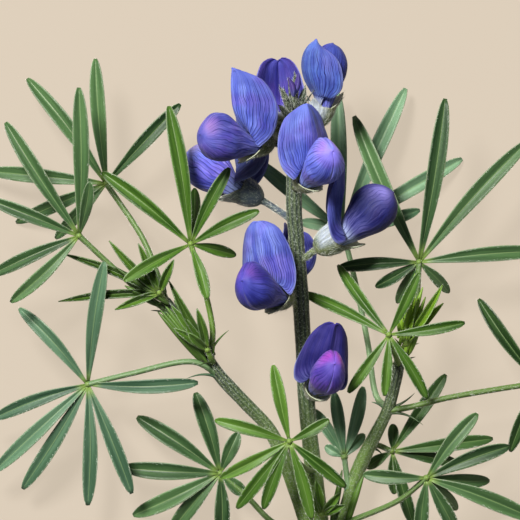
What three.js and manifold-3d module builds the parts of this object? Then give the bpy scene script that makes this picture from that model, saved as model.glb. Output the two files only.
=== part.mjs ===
// A flowering stem of a narrow-leaved blue lupin, as picked: one spike of nine florets and
// a tuft of buds, with the leafy shoots that grow from the same stem, lying on a surface.
// Millimetres. +Z points up from the surface and +Y runs from the cut end to the buds.
// The origin is on the small flat that the cut end of the stem rests on.

import * as THREE from 'three';
import Module from 'manifold-3d';

const wasm = await Module();
wasm.setup();

// Driving dimensions
const BLADE = 0.6;
const GAP = 0.3;
const STEM_FOOT_RADIUS = 1.35;
const STEM_TOP_RADIUS = 1.1;
const SHOOT_RADIUS = 1.25;
const SHOOT_TIP_RADIUS = 0.8;
const PETIOLE_RADIUS = 0.48;
const PEDICEL_RADIUS = 0.55;
const LEAFLET_HALF_WIDTH = 1.15;
// A leaflet's half width is this share of the greatest, plus so much for each millimetre of reach
const NARROW_SHARE = 0.62;
const SHARE_PER_MM = 0.02;
const LEAFLET_FOLD = 0.3;
const HUB_RADIUS = 0.9;
const HUB_HEIGHT = 1.1;
const LEAFLET_START = 0.6;
const SHORT_LEAFLET = 12;
const CALYX_RADIUS = 2.2;
const STEM_SIDES = 8;
const PETIOLE_SIDES = 6;

// Colours
const SILVER_GREEN = 0x5c6f56;
const LEAF_GREEN = 0x4f7a48;
const YOUNG_GREEN = 0x7f9a4a;
const CALYX_GREEN = 0x7d874d;
const BANNER_BLUE = 0x6678d2;
const WING_BLUE = 0x5750a8;
const KEEL_PALE = 0xc9c0e2;

// Routes of the three stems, as [x, y, z] of their middle lines
const MAIN_ROUTE = [
  [0.2, -2, 1.2], [-0.5, 4, 1.25], [-1.5, 10.5, 2], [-2.6, 19, 4], [-3.4, 27, 6.6], [-3.9, 35, 9.4],
  [-4.5, 45, 12.4], [-5, 52, 13.9], [-5.4, 57, 14.6], [-5.4, 63, 15.1], [-5.4, 72, 15.5],
];
const LEFT_ROUTE = [
  [-0.5, 3, 1.5], [-2, 6, 2], [-4, 11.5, 3.2], [-6.6, 18.8, 5], [-9.3, 24.3, 6.6], [-12.8, 28.1, 8],
  [-16.6, 32.2, 9.2], [-19.5, 36.4, 10.2], [-22.5, 40.5, 11], [-24.6, 43.2, 11.5],
];
const RIGHT_ROUTE = [
  [-0.3, 3, 1.5], [0.9, 8.2, 2.4], [2.4, 11.8, 3.2], [3.9, 16.9, 4.6], [5.4, 20.4, 5.8],
  [7.3, 24.1, 7.2], [8.8, 27.3, 8.4], [9.9, 31.5, 9.6], [10.7, 35.7, 10.6],
];

// Each leaf has the route of its stalk from the stem to its hub, where the leaflets meet, and one
// row for each leaflet: the way it points in degrees from +X, its reach and its rise.
// A leaf with a seat of true is let down until its lowest leaflet tip touches the surface.
const LEAVES = [
  {
    name: 'leaf_left_1',
    stalk: [[-24.9, 43.9, 11], [-25.8, 47, 10.6], [-28, 52.5, 9.3], [-33.6, 61, 7]],
    leaflets: [
      [127, 19.8, -2], [95, 18.8, 2], [47, 16.3, 2], [174, 18.3, -4], [-157, 14.9, -7], [-133, 11.3, -4],
    ],
    seat: true,
  },
  {
    name: 'leaf_left_2',
    stalk: [[-23.2, 41.2, 11.2], [-28, 44.4, 11.6], [-33, 48.8, 12.2], [-37.6, 53.1, 13.4]],
    leaflets: [
      [123, 20.3, -1], [90, 22.2, 4], [78, 8.2, 6], [158, 14.7, -1], [-156, 14.6, -2], [-136, 14.3, -1],
    ],
  },
  {
    name: 'leaf_left_3',
    stalk: [[-18.6, 35, 10], [-17.6, 38, 11.4], [-18.8, 45, 12.6], [-20.9, 51.9, 13]],
    leaflets: [
      [141, 17.1, -1], [99, 20.9, 2], [86, 8.4, -5], [63, 12.8, 3], [26, 11.4, 2.6], [-14, 7, -3.5],
      [-151, 11.4, 5], [-73, 8.6, 3],
    ],
  },
  {
    name: 'leaf_left_4',
    stalk: [[-16.4, 32, 9.2], [-20.4, 34.2, 11], [-30, 32.4, 9.5], [-36.4, 30.8, 8]],
    leaflets: [
      [82, 18.6, 7], [132, 15.4, -1], [1, 16.6, 3], [-160, 15.3, -2], [-137, 19.4, -2.5], [-122, 18.6, -4],
      [-90, 18.2, -1], [-68, 17.7, 0],
    ],
  },
  {
    name: 'leaf_left_5',
    stalk: [[-2, 5.8, 2], [-5.5, 8.2, 2.6], [-9, 10.3, 3.2], [-12.4, 13.8, 4], [-16.5, 17.4, 4.5]],
    leaflets: [
      [146, 15.1, -1.5], [107, 12.7, 0.5], [66, 6.7, 0.5], [177, 14.7, -1], [-154, 14.6, -2.5],
      [-130, 12, -3], [-89, 9.9, -2], [-41, 5, -1],
    ],
  },
  {
    name: 'leaf_front',
    stalk: [[-2.4, 17.6, 3.8], [-4, 18.4, 8.5], [-5.5, 20.2, 12], [-6.1, 22.3, 13.5]],
    leaflets: [
      [102, 11.7, 0.5], [164, 11.6, -0.5], [-152, 11.7, -2.5], [-128, 12.8, -3.5], [-111, 10.9, -2.5],
      [-74, 12.2, -2.5], [-39, 10.9, -2], [29, 6.8, 1],
    ],
  },
  {
    name: 'leaf_behind_spike',
    stalk: [[8.7, 27.2, 8.4], [7, 29, 6], [5.7, 37, 4.6], [3.4, 48.1, 3.6], [1.9, 53.9, 3.2]],
    leaflets: [
      [141, 17.6, -0.2], [92, 20.9, -0.2], [66, 23.5, -1.2], [31, 21.1, -3.2], [15, 12.1, -1.6],
      [168, 6.5, -2],
    ],
    seat: true,
  },
  {
    name: 'leaf_right_1',
    stalk: [[10.2, 33.6, 10.1], [12.2, 36.6, 9.6], [12.9, 41, 9.6], [13.4, 49.2, 9.5]],
    leaflets: [
      [114, 24, -2.5], [81, 24.8, 2.5], [48, 24.5, 0.5], [5, 18.9, -1.5], [-45, 6.5, -5],
      [-176, 12.2, -1.5], [-150, 7.5, -2.5], [-118, 7, -4.5],
    ],
  },
  {
    name: 'leaf_right_2',
    stalk: [[10.3, 33.6, 10.1], [9.9, 35, 12.8], [9.3, 36.6, 14.4], [8.8, 38.3, 15]],
    leaflets: [
      [154, 14.4, -7], [126, 12.9, -6], [64, 10.3, 3], [9, 11.5, 1], [-59, 11.2, -1], [-94, 9.2, 0],
      [-125, 10.6, -1],
    ],
  },
  {
    name: 'leaf_right_3',
    stalk: [[8.6, 26.8, 8.2], [12, 27.4, 9.2], [17.7, 28.8, 9.4], [28.5, 30.6, 9.2], [31.5, 31, 9]],
    leaflets: [
      [126, 15.6, 0], [86, 11.7, 2], [44, 12.5, 0], [-6, 10.9, -2], [-49, 11.9, -3], [-113, 11.2, -2],
    ],
  },
  {
    name: 'leaf_right_4',
    stalk: [[1.4, 9.4, 2.6], [3.9, 10.5, 5], [10.5, 13.5, 9.6], [14.5, 16.8, 12]],
    leaflets: [
      [52, 12.3, 1], [21, 13.3, 0], [-3, 9.5, -4], [-21, 17.4, -2], [-46, 6.7, -5], [-61, 9.7, -3],
      [-96, 9.4, -3], [177, 9.5, -1],
    ],
  },
  {
    name: 'leaf_right_5',
    stalk: [[5.9, 21.5, 6.2], [7.3, 21.6, 4.8], [9.4, 20.7, 4]],
    leaflets: [
      [7, 15.3, -1.5], [55, 14.1, 0], [-11, 10.4, -2.5], [-87, 6.5, -2], [-74, 11.9, -2.5], [-146, 4.6, -2],
      [88, 4.1, -0.5],
    ],
  },
  {
    name: 'leaf_right_6',
    stalk: [[3.1, 14, 3.8], [2.7, 16, 4.8], [2.2, 19.8, 4.9]],
    leaflets: [[99, 10, 0.5], [75, 11, -1], [123, 8.6, -1], [150, 3.3, -0.6], [49, 4.6, -1.4]],
  },
];

// Young leaves, still narrow and half folded
const YOUNG_LEAVES = [
  {
    name: 'young_leaf_left',
    stalk: [[-24.4, 43, 11.5], [-25.2, 44, 13.4], [-25.6, 44.6, 14.2]],
    leaflets: [
      [134, 10.8, 0.6], [158, 15.5, -4], [-175, 15.2, -5], [-159, 7.1, -1], [113, 8, 1.4], [66, 5.4, 1.6],
    ],
  },
  {
    name: 'young_leaf_right',
    stalk: [[10.6, 35.4, 10.5], [11.2, 36.6, 12], [11.4, 37, 12.8]],
    leaflets: [[79, 7.5, 2], [58, 10.4, 0.6], [47, 8.2, -1.6], [104, 5, 1]],
  },
  {
    name: 'young_leaf_base',
    stalk: [[0.9, 8, 2.4], [-0.6, 9.4, 4.6], [-1.2, 11.2, 6]],
    leaflets: [[128, 4.9, 2], [100, 5.4, 2.6], [50, 4.4, 2.6], [22, 3.8, 2]],
  },
  {
    name: 'axil_leaf_left',
    stalk: [[-17.6, 33.8, 9.6], [-17.9, 34.8, 11.6], [-18.4, 36, 12.4]],
    leaflets: [[119, 11.8, 1.4], [129, 8.6, 0.6], [104, 6.4, 2.4], [147, 6, 1.4], [138, 3.9, 3]],
  },
];

// Each floret: the point of the stem that it grows from, its calyx base, the way its wings point,
// the way its banner stands, its size, and how far its banner has opened, from 0 to 1. Then, as
// shares of the usual, how far the halves of the banner fold back, how wide they are and how low
// they hang over the wings while it is closed, and how deep the notch at its tip is.
const FLORETS = [
  {
    root: [-5.8, 66, 15.2], at: [-9, 66.6, 15.9], forward: [-0.8, 0.03, 0.6],
    up: [0.05, 1, 0.05], size: 1, open: 1, fold: 1, width: 1, hang: 1, notch: 0.4,
  },
  {
    root: [-6.1, 55.8, 14.4], at: [-10.7, 58.3, 10.2], forward: [-0.87, 0.47, -0.15],
    up: [0.4, 0.85, -0.3], size: 1, open: 1, fold: 1, width: 0.9, hang: 1, notch: 0.4,
  },
  {
    root: [-5.7, 69, 15.3], at: [-7.5, 69.4, 14.2], forward: [0.05, 0, -1],
    up: [-0.07, 1, 0], size: 0.88, open: 1, fold: 1, width: 1.12, hang: 1, notch: 1.9,
  },
  {
    root: [-5.5, 68.6, 15.4], at: [-1.5, 69.8, 15.7], forward: [0.22, 0.97, 0.06],
    up: [-0.87, 0.1, 0.46], size: 0.93, open: 0, fold: 1, width: 1.1, hang: 0.8, notch: 0,
  },
  {
    root: [-5.8, 60.2, 14.9], at: [-4.4, 60.4, 17.7], forward: [0.4, 0.34, 0.84],
    up: [-0.06, 0.97, 0], size: 0.93, open: 1, fold: 0.65, width: 1.2, hang: 1, notch: 0.4,
  },
  {
    root: [-5.4, 48.5, 13.2], at: [-1.6, 50.9, 14.6], forward: [0.83, 0.54, 0.15],
    up: [-0.3, 0.85, 0.3], size: 1.08, open: 0.62, fold: 1.5, width: 1, hang: 1, notch: 0.3,
  },
  {
    root: [-5, 42.6, 11.9], at: [-6.3, 43.4, 15.4], forward: [-0.52, 0.14, 0.84],
    up: [-0.02, 0.9, -0.2], size: 1, open: 0.92, fold: 0.4, width: 1.15, hang: 1, notch: 1.1,
  },
  {
    root: [-3.8, 29, 7.4], at: [-2.5, 29.4, 11.3], forward: [0.24, 0.28, 0.92],
    up: [0.16, 0.97, -0.1], size: 0.95, open: 0.62, fold: 0.9, width: 1.15, hang: 1, notch: 2,
  },
  {
    root: [-5.4, 49.6, 13.4], at: [-4.8, 48.6, 10.4], forward: [-0.5, -0.35, -0.79],
    up: [0.32, 0.94, -0.3], size: 0.82, open: 1, fold: 1, width: 1, hang: 1, notch: 0.4,
  },
];

// Half width of a leaflet along its length, as a share of its greatest
const LEAFLET_OUTLINE = [[0, 0.2], [0.3, 0.7], [0.62, 1], [0.86, 0.74], [1, 0.12]];
const SHORT_OUTLINE = [[0, 0.22], [0.4, 0.85], [0.75, 0.95], [1, 0.12]];

// The wings as one pouch: [distance forward, top, bottom, half width, how much fuller it is below]
const WING_STATIONS = [
  [3.2, 0.75, -1, 1.2, 0], [4.7, 1.6, -1.4, 1.65, 0], [6.6, 3.1, -2.1, 2.2, 0.18],
  [8.8, 4.5, -2.6, 2.6, 0.34], [10.9, 4.5, -2.3, 2.35, 0.34], [12.4, 3.2, -1, 1.45, 0.2],
  [13, 1.9, 0.4, 0.75, 0],
];
const WING_WRAP = THREE.MathUtils.degToRad(165);
const WING_COLUMNS = 7;

// The keel inside the wings: [forward, up, half width, half height]
const KEEL_STATIONS = [
  [4, -0.1, 0.3, 0.3], [6, 0, 0.5, 0.8], [8.6, 0.1, 0.7, 1], [10.2, 0.8, 0.5, 0.75],
  [10.9, 1.9, 0.3, 0.35],
];

// The banner: its middle line, the reach of one side from it, and how that side curls,
// each as [forward, aside, up], first folded back and then still folded over the wings
const OPEN_BANNER = [
  { middle: [2.9, 0, 1.35], side: [0, 0.7, -0.2], curl: [0, 0, -0.1] },
  { middle: [4.3, 0, 2], side: [0, 1.1, 0], curl: [0, 0, -0.2] },
  { middle: [5.1, 0, 2.8], side: [0.7, 3.2, 0.2], curl: [-1.9, -0.1, -2.9] },
  { middle: [6.2, 0, 3.9], side: [-0.9, 3.7, 0.3], curl: [-2.9, 0.1, -2.2] },
  { middle: [7.3, 0, 5.5], side: [-2.6, 3.7, 0.3], curl: [-2.8, 0.3, -1.2] },
  { middle: [7.8, 0, 7.7], side: [-3, 3.3, 0.2], curl: [-2.4, 0.3, -0.7] },
  { middle: [8, 0, 9.9], side: [-2.7, 2.6, 0.1], curl: [-1.2, 0.1, -0.4] },
  { middle: [7.9, 0, 11.3], side: [-1.3, 1.2, 0], curl: [-0.3, 0, -0.4] },
];
const CLOSED_BANNER = [
  { middle: [2.9, 0, 1.35], side: [0, 0.7, -0.2], curl: [0, 0, -0.1] },
  { middle: [4.3, 0, 2], side: [0, 1.5, -0.1], curl: [0, 0, -0.8] },
  { middle: [5.2, 0, 2.8], side: [0.1, 3, 0], curl: [-0.5, 0, -3] },
  { middle: [6.8, 0, 4.3], side: [-0.1, 3.7, 0], curl: [-0.3, -0.2, -5.8] },
  { middle: [8.6, 0, 5.3], side: [-0.1, 3.8, 0.1], curl: [-0.3, -0.3, -6.9] },
  { middle: [10.5, 0, 5.6], side: [0, 3.4, 0.1], curl: [-0.3, -0.3, -6.3] },
  { middle: [12.2, 0, 5.1], side: [-0.2, 2.5, 0], curl: [-0.3, -0.1, -3.9] },
  { middle: [13.2, 0, 4.1], side: [-0.3, 1, 0], curl: [-0.1, 0, -0.8] },
];
const BANNER_COLUMNS = [-1, -0.62, -0.28, 0, 0.28, 0.62, 1];
// The notch deepens towards the tip by this power of the way along
const NOTCH_POWER = 4;
// A young floret's wings are smaller, so that its banner closes over them
const YOUNG_WINGS = 0.8;

// How far each tooth and lip of the calyx reaches forward, by the angle round it from its left
const CALYX_RIM = [3, 2.8, 3.5, 3.2, 3.5, 2.8, 3, 3.8, 4.9, 5.6, 4.9, 3.8];
const CALYX_BASE = -0.5;
// The pedicel runs in from behind the calyx base to inside it
const PEDICEL_HEEL = -1.2;
const PEDICEL_END = 0.1;
const CALYX_MIDDLE = 0.35;
// The cup is round up to its waist and flares past it, more in its upper lip than in its lower
const CALYX_WAIST = 3;
const CALYX_ROUNDING = 3.6;
const UPPER_FLARE = 0.75;
const LOWER_FLARE = 0.4;
const CALYX_FLOOR = 1.3;

// Buds at the tip of the spike: base, the way each points, length, and half width
const BUDS = [
  { at: [-5.6, 72, 15.5], to: [0.05, 1, 0.25], length: 5.8, radius: 0.9 },
  { at: [-6, 71.4, 15.8], to: [-0.35, 0.9, 0.45], length: 4.8, radius: 0.85 },
  { at: [-5, 71.6, 15.9], to: [0.3, 0.95, 0.4], length: 4.6, radius: 0.85 },
  { at: [-5.2, 71, 16], to: [0.05, 0.75, 1], length: 4.4, radius: 0.85 },
  { at: [-6.2, 70.6, 15.9], to: [-0.45, 0.6, 0.9], length: 4, radius: 0.8 },
  { at: [-5.2, 70, 16], to: [0.3, 0.5, 0.95], length: 3.6, radius: 0.75 },
];
const BUD_OUTLINE = [[0, 0.45], [0.3, 1], [0.65, 0.85], [1, 0.14]];
const BUD_SIDES = 6;
const BUD_PETALS = [
  { at: [-5.4, 74.4, 18.2], to: [0.2, 1, 0.25], length: 3.4, radius: 0.85 },
  { at: [-5.5, 74.2, 18.6], to: [-0.3, 1, 0.5], length: 3, radius: 0.8 },
];

function vector(row) {
  return new THREE.Vector3(...row);
}

// Joins equal rings of points into one closed skin. Each ring is an even loop whose first half
// faces its second half, so its ends are closed by strips between the halves.
function loft(rings) {
  const count = rings[0].length;
  const positions = rings.flat().flatMap((point) => [point.x, point.y, point.z]);
  const faces = [];
  for (let row = 0; row + 1 < rings.length; row += 1) {
    for (let column = 0; column < count; column += 1) {
      const a = row * count + column;
      const b = row * count + ((column + 1) % count);
      faces.push(a, b, b + count, a, b + count, a + count);
    }
  }
  const last = (rings.length - 1) * count;
  for (let column = 0; column + 1 < count / 2; column += 1) {
    const facing = count - 1 - column;
    faces.push(column, facing, facing - 1, column, facing - 1, column + 1);
    faces.push(last + column, last + facing - 1, last + facing);
    faces.push(last + column, last + column + 1, last + facing - 1);
  }
  return outward(positions, faces);
}

// Turns a closed skin so that its faces point out
function outward(positions, faces) {
  let volume = 0;
  for (let f = 0; f < faces.length; f += 3) {
    const [a, b, c] = [0, 1, 2].map((k) => vector(positions.slice(3 * faces[f + k], 3 * faces[f + k] + 3)));
    volume += a.dot(b.cross(c));
  }
  if (volume < 0) {
    faces.reverse();
  }
  const geometry = new THREE.BufferGeometry();
  geometry.setAttribute('position', new THREE.Float32BufferAttribute(positions, 3));
  geometry.setIndex(faces);
  return geometry;
}

function solidOf(geometry) {
  const mesh = new wasm.Mesh({
    numProp: 3,
    vertProperties: new Float32Array(geometry.attributes.position.array),
    triVerts: new Uint32Array(geometry.index.array),
  });
  return new wasm.Manifold(mesh);
}

function geometryOf(solid) {
  const mesh = solid.getMesh();
  const geometry = new THREE.BufferGeometry();
  geometry.setAttribute('position', new THREE.BufferAttribute(mesh.vertProperties, 3));
  geometry.setIndex(new THREE.BufferAttribute(mesh.triVerts, 1));
  return geometry;
}

// Joins geometries that are sunk into each other
function fuse(geometries) {
  return geometries.map(solidOf).reduce((whole, piece) => whole.add(piece));
}

// The largest body that is left when one solid is cut from another
function cutFrom(solid, cutter) {
  const bodies = solid.subtract(cutter).decompose();
  return bodies.reduce((best, body) => (body.volume() > best.volume() ? body : best));
}

// A round stalk along a smooth route, with its radius going from the first to the last
function stalk(route, firstRadius, lastRadius, sides, steps) {
  const curve = new THREE.CatmullRomCurve3(route.map(vector), false, 'centripetal');
  const frames = curve.computeFrenetFrames(steps, false);
  const rings = [];
  for (let step = 0; step <= steps; step += 1) {
    const share = step / steps;
    const centre = curve.getPointAt(share);
    const radius = THREE.MathUtils.lerp(firstRadius, lastRadius, share);
    rings.push(Array.from({ length: sides }, (unused, side) => {
      const angle = (2 * Math.PI * (side + 0.5)) / sides;
      return centre.clone()
        .addScaledVector(frames.normals[step], radius * Math.cos(angle))
        .addScaledVector(frames.binormals[step], radius * Math.sin(angle));
    }));
  }
  return loft(rings);
}

// The stem and its two shoots, swollen by a margin when other pieces are cut clear of it
function stemPieces(margin) {
  const grown = [
    [MAIN_ROUTE, STEM_FOOT_RADIUS, STEM_TOP_RADIUS, 15],
    [LEFT_ROUTE, SHOOT_RADIUS, SHOOT_TIP_RADIUS, 10],
    [RIGHT_ROUTE, SHOOT_RADIUS, SHOOT_TIP_RADIUS, 9],
  ];
  return grown.map(([route, foot, tip, steps]) => (
    stalk(stretched(route, margin), foot + margin, tip + margin, STEM_SIDES, steps)
  ));
}

// A route with its last point moved on by a margin
function stretched(route, margin) {
  const end = vector(route.at(-1));
  const onward = end.clone().sub(vector(route.at(-2))).normalize();
  return [...route.slice(0, -1), end.addScaledVector(onward, margin).toArray()];
}

// Everything under the surface, cut off so that the stem rests on a flat
function belowSurface() {
  const depth = 10;
  const block = new THREE.BoxGeometry(100, 100, depth);
  block.translate(0, 0, -depth / 2);
  return solidOf(welded(block));
}

// A box geometry with its eight corners shared between its faces
function welded(box) {
  const { position } = box.attributes;
  const corners = [];
  const indexOf = new Map();
  const renamed = [];
  for (let i = 0; i < position.count; i += 1) {
    const corner = [position.getX(i), position.getY(i), position.getZ(i)];
    const key = corner.join();
    if (!indexOf.has(key)) {
      indexOf.set(key, corners.length);
      corners.push(corner);
    }
    renamed.push(indexOf.get(key));
  }
  return outward(corners.flat(), Array.from(box.index.array, (i) => renamed[i]));
}

// One leaflet: a narrow blade that widens past its middle, folded up along its midrib
function leaflet(hub, [bearing, reach, rise], halfWidth) {
  const turn = THREE.MathUtils.degToRad(bearing);
  const along = new THREE.Vector3(Math.cos(turn), Math.sin(turn), 0);
  const aside = new THREE.Vector3(-Math.sin(turn), Math.cos(turn), 0);
  const arch = 0.06 * reach;
  const outline = reach < SHORT_LEAFLET ? SHORT_OUTLINE : LEAFLET_OUTLINE;
  const rings = outline.map(([share, width]) => {
    const middle = hub.clone().addScaledVector(along, THREE.MathUtils.lerp(LEAFLET_START, reach, share));
    middle.z += rise * share + arch * Math.sin(Math.PI * share);
    const half = halfWidth * width;
    const rim = (sign, level) => middle.clone()
      .addScaledVector(aside, sign * half)
      .add(new THREE.Vector3(0, 0, LEAFLET_FOLD * half + level));
    const rib = (level) => middle.clone().add(new THREE.Vector3(0, 0, level));
    const top = BLADE / 2;
    return [rim(1, top), rib(top), rim(-1, top), rim(-1, -top), rib(-top), rim(1, -top)];
  });
  return loft(rings);
}

// A leaf with its stalk and hub, in one piece
function leaf(spec, halfWidth) {
  const hub = vector(spec.stalk.at(-1));
  const steps = spec.stalk.length - 1;
  const petiole = stalk(spec.stalk, PETIOLE_RADIUS, PETIOLE_RADIUS * 0.9, PETIOLE_SIDES, steps);
  const rise = new THREE.Vector3(0, 0, HUB_HEIGHT / 2);
  const ends = [hub.clone().sub(rise).toArray(), hub.clone().add(rise).toArray()];
  const knob = stalk(ends, HUB_RADIUS, HUB_RADIUS * 0.8, PETIOLE_SIDES, 1);
  const blades = spec.leaflets.map((row) => leaflet(hub, row, halfWidth(row[1])));
  let whole = fuse([petiole, knob, ...blades]);
  if (spec.seat) {
    whole = whole.translate([0, 0, -whole.boundingBox().min[2]]);
  }
  return whole;
}

// A pointed bud
function bud({ at, to, length, radius }) {
  const forward = vector(to).normalize();
  const side = new THREE.Vector3(forward.z, forward.x, -forward.y).cross(forward).normalize();
  const other = forward.clone().cross(side);
  const rings = BUD_OUTLINE.map(([share, width]) => Array.from({ length: BUD_SIDES }, (unused, k) => {
    const angle = (2 * Math.PI * k) / BUD_SIDES;
    return vector(at)
      .addScaledVector(forward, share * length)
      .addScaledVector(side, width * radius * Math.cos(angle))
      .addScaledVector(other, width * radius * Math.sin(angle));
  }));
  return loft(rings);
}

// Places a floret's own axes, forward, left and up, in the plant
function floretFrame({ at, forward, up, size }) {
  const ahead = vector(forward).normalize();
  const left = vector(up).cross(ahead).normalize();
  const above = ahead.clone().cross(left);
  return new THREE.Matrix4()
    .makeBasis(ahead, left, above)
    .scale(new THREE.Vector3(size, size, size))
    .setPosition(vector(at));
}

// The calyx cup: two lips with teeth, walls one blade thick
function calyx(blade) {
  const columns = CALYX_RIM.length;
  const radius = (forward, angle) => {
    if (forward < CALYX_WAIST) {
      return CALYX_RADIUS * Math.sqrt(1 - ((CALYX_WAIST - forward) / CALYX_ROUNDING) ** 2);
    }
    const flare = Math.sin(angle) > 0.1 ? UPPER_FLARE : LOWER_FLARE;
    return CALYX_RADIUS + flare * (forward - CALYX_WAIST);
  };
  const ring = (share, inset, start) => CALYX_RIM.map((rim, column) => {
    const angle = (2 * Math.PI * column) / columns;
    const forward = start + share * (rim - start);
    const reach = radius(forward, angle) - inset;
    return new THREE.Vector3(forward, reach * Math.cos(angle), CALYX_MIDDLE + reach * Math.sin(angle));
  });
  const floor = CALYX_BASE + CALYX_FLOOR;
  const outside = [0, 0.2, 0.55, 1].map((share) => ring(share, 0, CALYX_BASE));
  const inside = [1, 0.5, 0].map((share) => ring(share, blade, floor));
  return loft([...outside, ...inside]);
}

// The two wings, joined along their tops into a pouch that is open below
function wings(blade, shrink) {
  const rings = WING_STATIONS.map(([forward, top, bottom, halfWidth, fuller]) => {
    const height = ((top - bottom) * shrink) / (1 - Math.cos(WING_WRAP));
    const middle = top * shrink - height;
    const arc = (inset) => Array.from({ length: WING_COLUMNS }, (unused, column) => {
      const angle = WING_WRAP * ((2 * column) / (WING_COLUMNS - 1) - 1);
      const wide = Math.max(halfWidth * shrink - inset, 0.08) * (1 - fuller * Math.cos(angle));
      const high = Math.max(height - inset, 0.2);
      return new THREE.Vector3(forward, wide * Math.sin(angle), middle + high * Math.cos(angle));
    });
    return [...arc(0), ...arc(blade).reverse()];
  });
  return loft(rings);
}

function keel(shrink) {
  const rings = KEEL_STATIONS.map(([forward, up, halfWidth, halfHeight]) => (
    Array.from({ length: BUD_SIDES }, (unused, k) => {
      const angle = (2 * Math.PI * k) / BUD_SIDES;
      const aside = shrink * halfWidth * Math.cos(angle);
      return new THREE.Vector3(forward, aside, shrink * (up + halfHeight * Math.sin(angle)));
    })
  ));
  return loft(rings);
}

// The banner: a sheet on a middle line that bends up, with both sides folded back from it
function banner({ open, fold, width, hang, notch }, blade) {
  const lastRow = OPEN_BANNER.length - 1;
  const sheet = OPEN_BANNER.map((folded, row) => BANNER_COLUMNS.map((column) => {
    const [middle, side, curl] = ['middle', 'side', 'curl'].map((key) => (
      vector(CLOSED_BANNER[row][key]).lerp(vector(folded[key]), open)
    ));
    const reach = Math.abs(column);
    const out = side.multiplyScalar(reach).addScaledVector(curl, reach * reach);
    out.x *= THREE.MathUtils.lerp(1, fold, open);
    out.y *= width * Math.sign(column);
    out.z *= THREE.MathUtils.lerp(hang, 1, open);
    out.z += notch * reach * (row / lastRow) ** NOTCH_POWER;
    return middle.add(out);
  }));
  const normals = sheetNormals(sheet);
  const face = (row, level) => sheet[row].map((point, column) => (
    point.clone().addScaledVector(normals[row][column], level)
  ));
  return loft(sheet.map((unused, row) => [...face(row, blade / 2), ...face(row, -blade / 2).reverse()]));
}

// The unit normal at each point of a grid, from its neighbours along and across
function sheetNormals(sheet) {
  const lastRow = sheet.length - 1;
  const lastColumn = sheet[0].length - 1;
  return sheet.map((row, r) => row.map((unused, c) => {
    const along = sheet[Math.min(r + 1, lastRow)][c].clone().sub(sheet[Math.max(r - 1, 0)][c]);
    const across = row[Math.min(c + 1, lastColumn)].clone().sub(row[Math.max(c - 1, 0)]);
    return along.cross(across).normalize();
  }));
}

function paint(color, roughness) {
  return new THREE.MeshStandardMaterial({ color, roughness, metalness: 0 });
}

function named(name, geometry, color, roughness = 0.7) {
  const mesh = new THREE.Mesh(geometry, paint(color, roughness));
  mesh.name = name;
  return mesh;
}

// The whole flowering stem
function floweringStem() {
  const plant = new THREE.Group();
  plant.add(named('stem', geometryOf(fuse(stemPieces(0)).subtract(belowSurface())), SILVER_GREEN));

  const swollenStem = fuse(stemPieces(GAP));
  const leafWidth = (reach) => LEAFLET_HALF_WIDTH * (NARROW_SHARE + SHARE_PER_MM * reach);
  for (const spec of LEAVES) {
    plant.add(named(spec.name, geometryOf(cutFrom(leaf(spec, leafWidth), swollenStem)), LEAF_GREEN));
  }
  const youngWidth = () => LEAFLET_HALF_WIDTH * NARROW_SHARE;
  for (const spec of YOUNG_LEAVES) {
    plant.add(named(spec.name, geometryOf(cutFrom(leaf(spec, youngWidth), swollenStem)), YOUNG_GREEN));
  }

  FLORETS.forEach((floret, index) => {
    const name = `floret_${index + 1}`;
    const frame = floretFrame(floret);
    const blade = BLADE / Math.min(floret.size, 1);
    const shrink = THREE.MathUtils.lerp(YOUNG_WINGS, 1, floret.open);
    const neck = vector([PEDICEL_END, 0, CALYX_MIDDLE]).applyMatrix4(frame).toArray();
    const heel = vector([PEDICEL_HEEL, 0, CALYX_MIDDLE]).applyMatrix4(frame).toArray();
    const pedicel = stalk([floret.root, heel, neck], PEDICEL_RADIUS, PEDICEL_RADIUS, PETIOLE_SIDES, 4);
    const cup = fuse([pedicel, calyx(blade).applyMatrix4(frame)]);
    plant.add(named(`${name}_calyx`, geometryOf(cutFrom(cup, swollenStem)), CALYX_GREEN));
    plant.add(named(`${name}_banner`, banner(floret, blade).applyMatrix4(frame), BANNER_BLUE, 0.6));
    plant.add(named(`${name}_wings`, wings(blade, shrink).applyMatrix4(frame), WING_BLUE, 0.55));
    plant.add(named(`${name}_keel`, keel(shrink ** 2).applyMatrix4(frame), KEEL_PALE, 0.5));
  });

  plant.add(named('bud_tuft', geometryOf(cutFrom(fuse(BUDS.map(bud)), swollenStem)), SILVER_GREEN, 0.8));
  plant.add(named('bud_petals', geometryOf(fuse(BUD_PETALS.map(bud))), WING_BLUE, 0.6));
  return plant;
}

const plant = floweringStem();

export default plant;
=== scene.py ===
"""A cut flowering stem of a narrow-leaved blue lupin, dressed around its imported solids.

Lengths are millimetres in the frame's own axes, unless a docstring says otherwise: +Z up from the
surface that the stem lies on, +Y from the cut end to the buds. Every surface is worked out with
numpy as a grid of points.
"""

import logging
import math
from dataclasses import dataclass, field
from enum import Enum
from functools import cache

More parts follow.
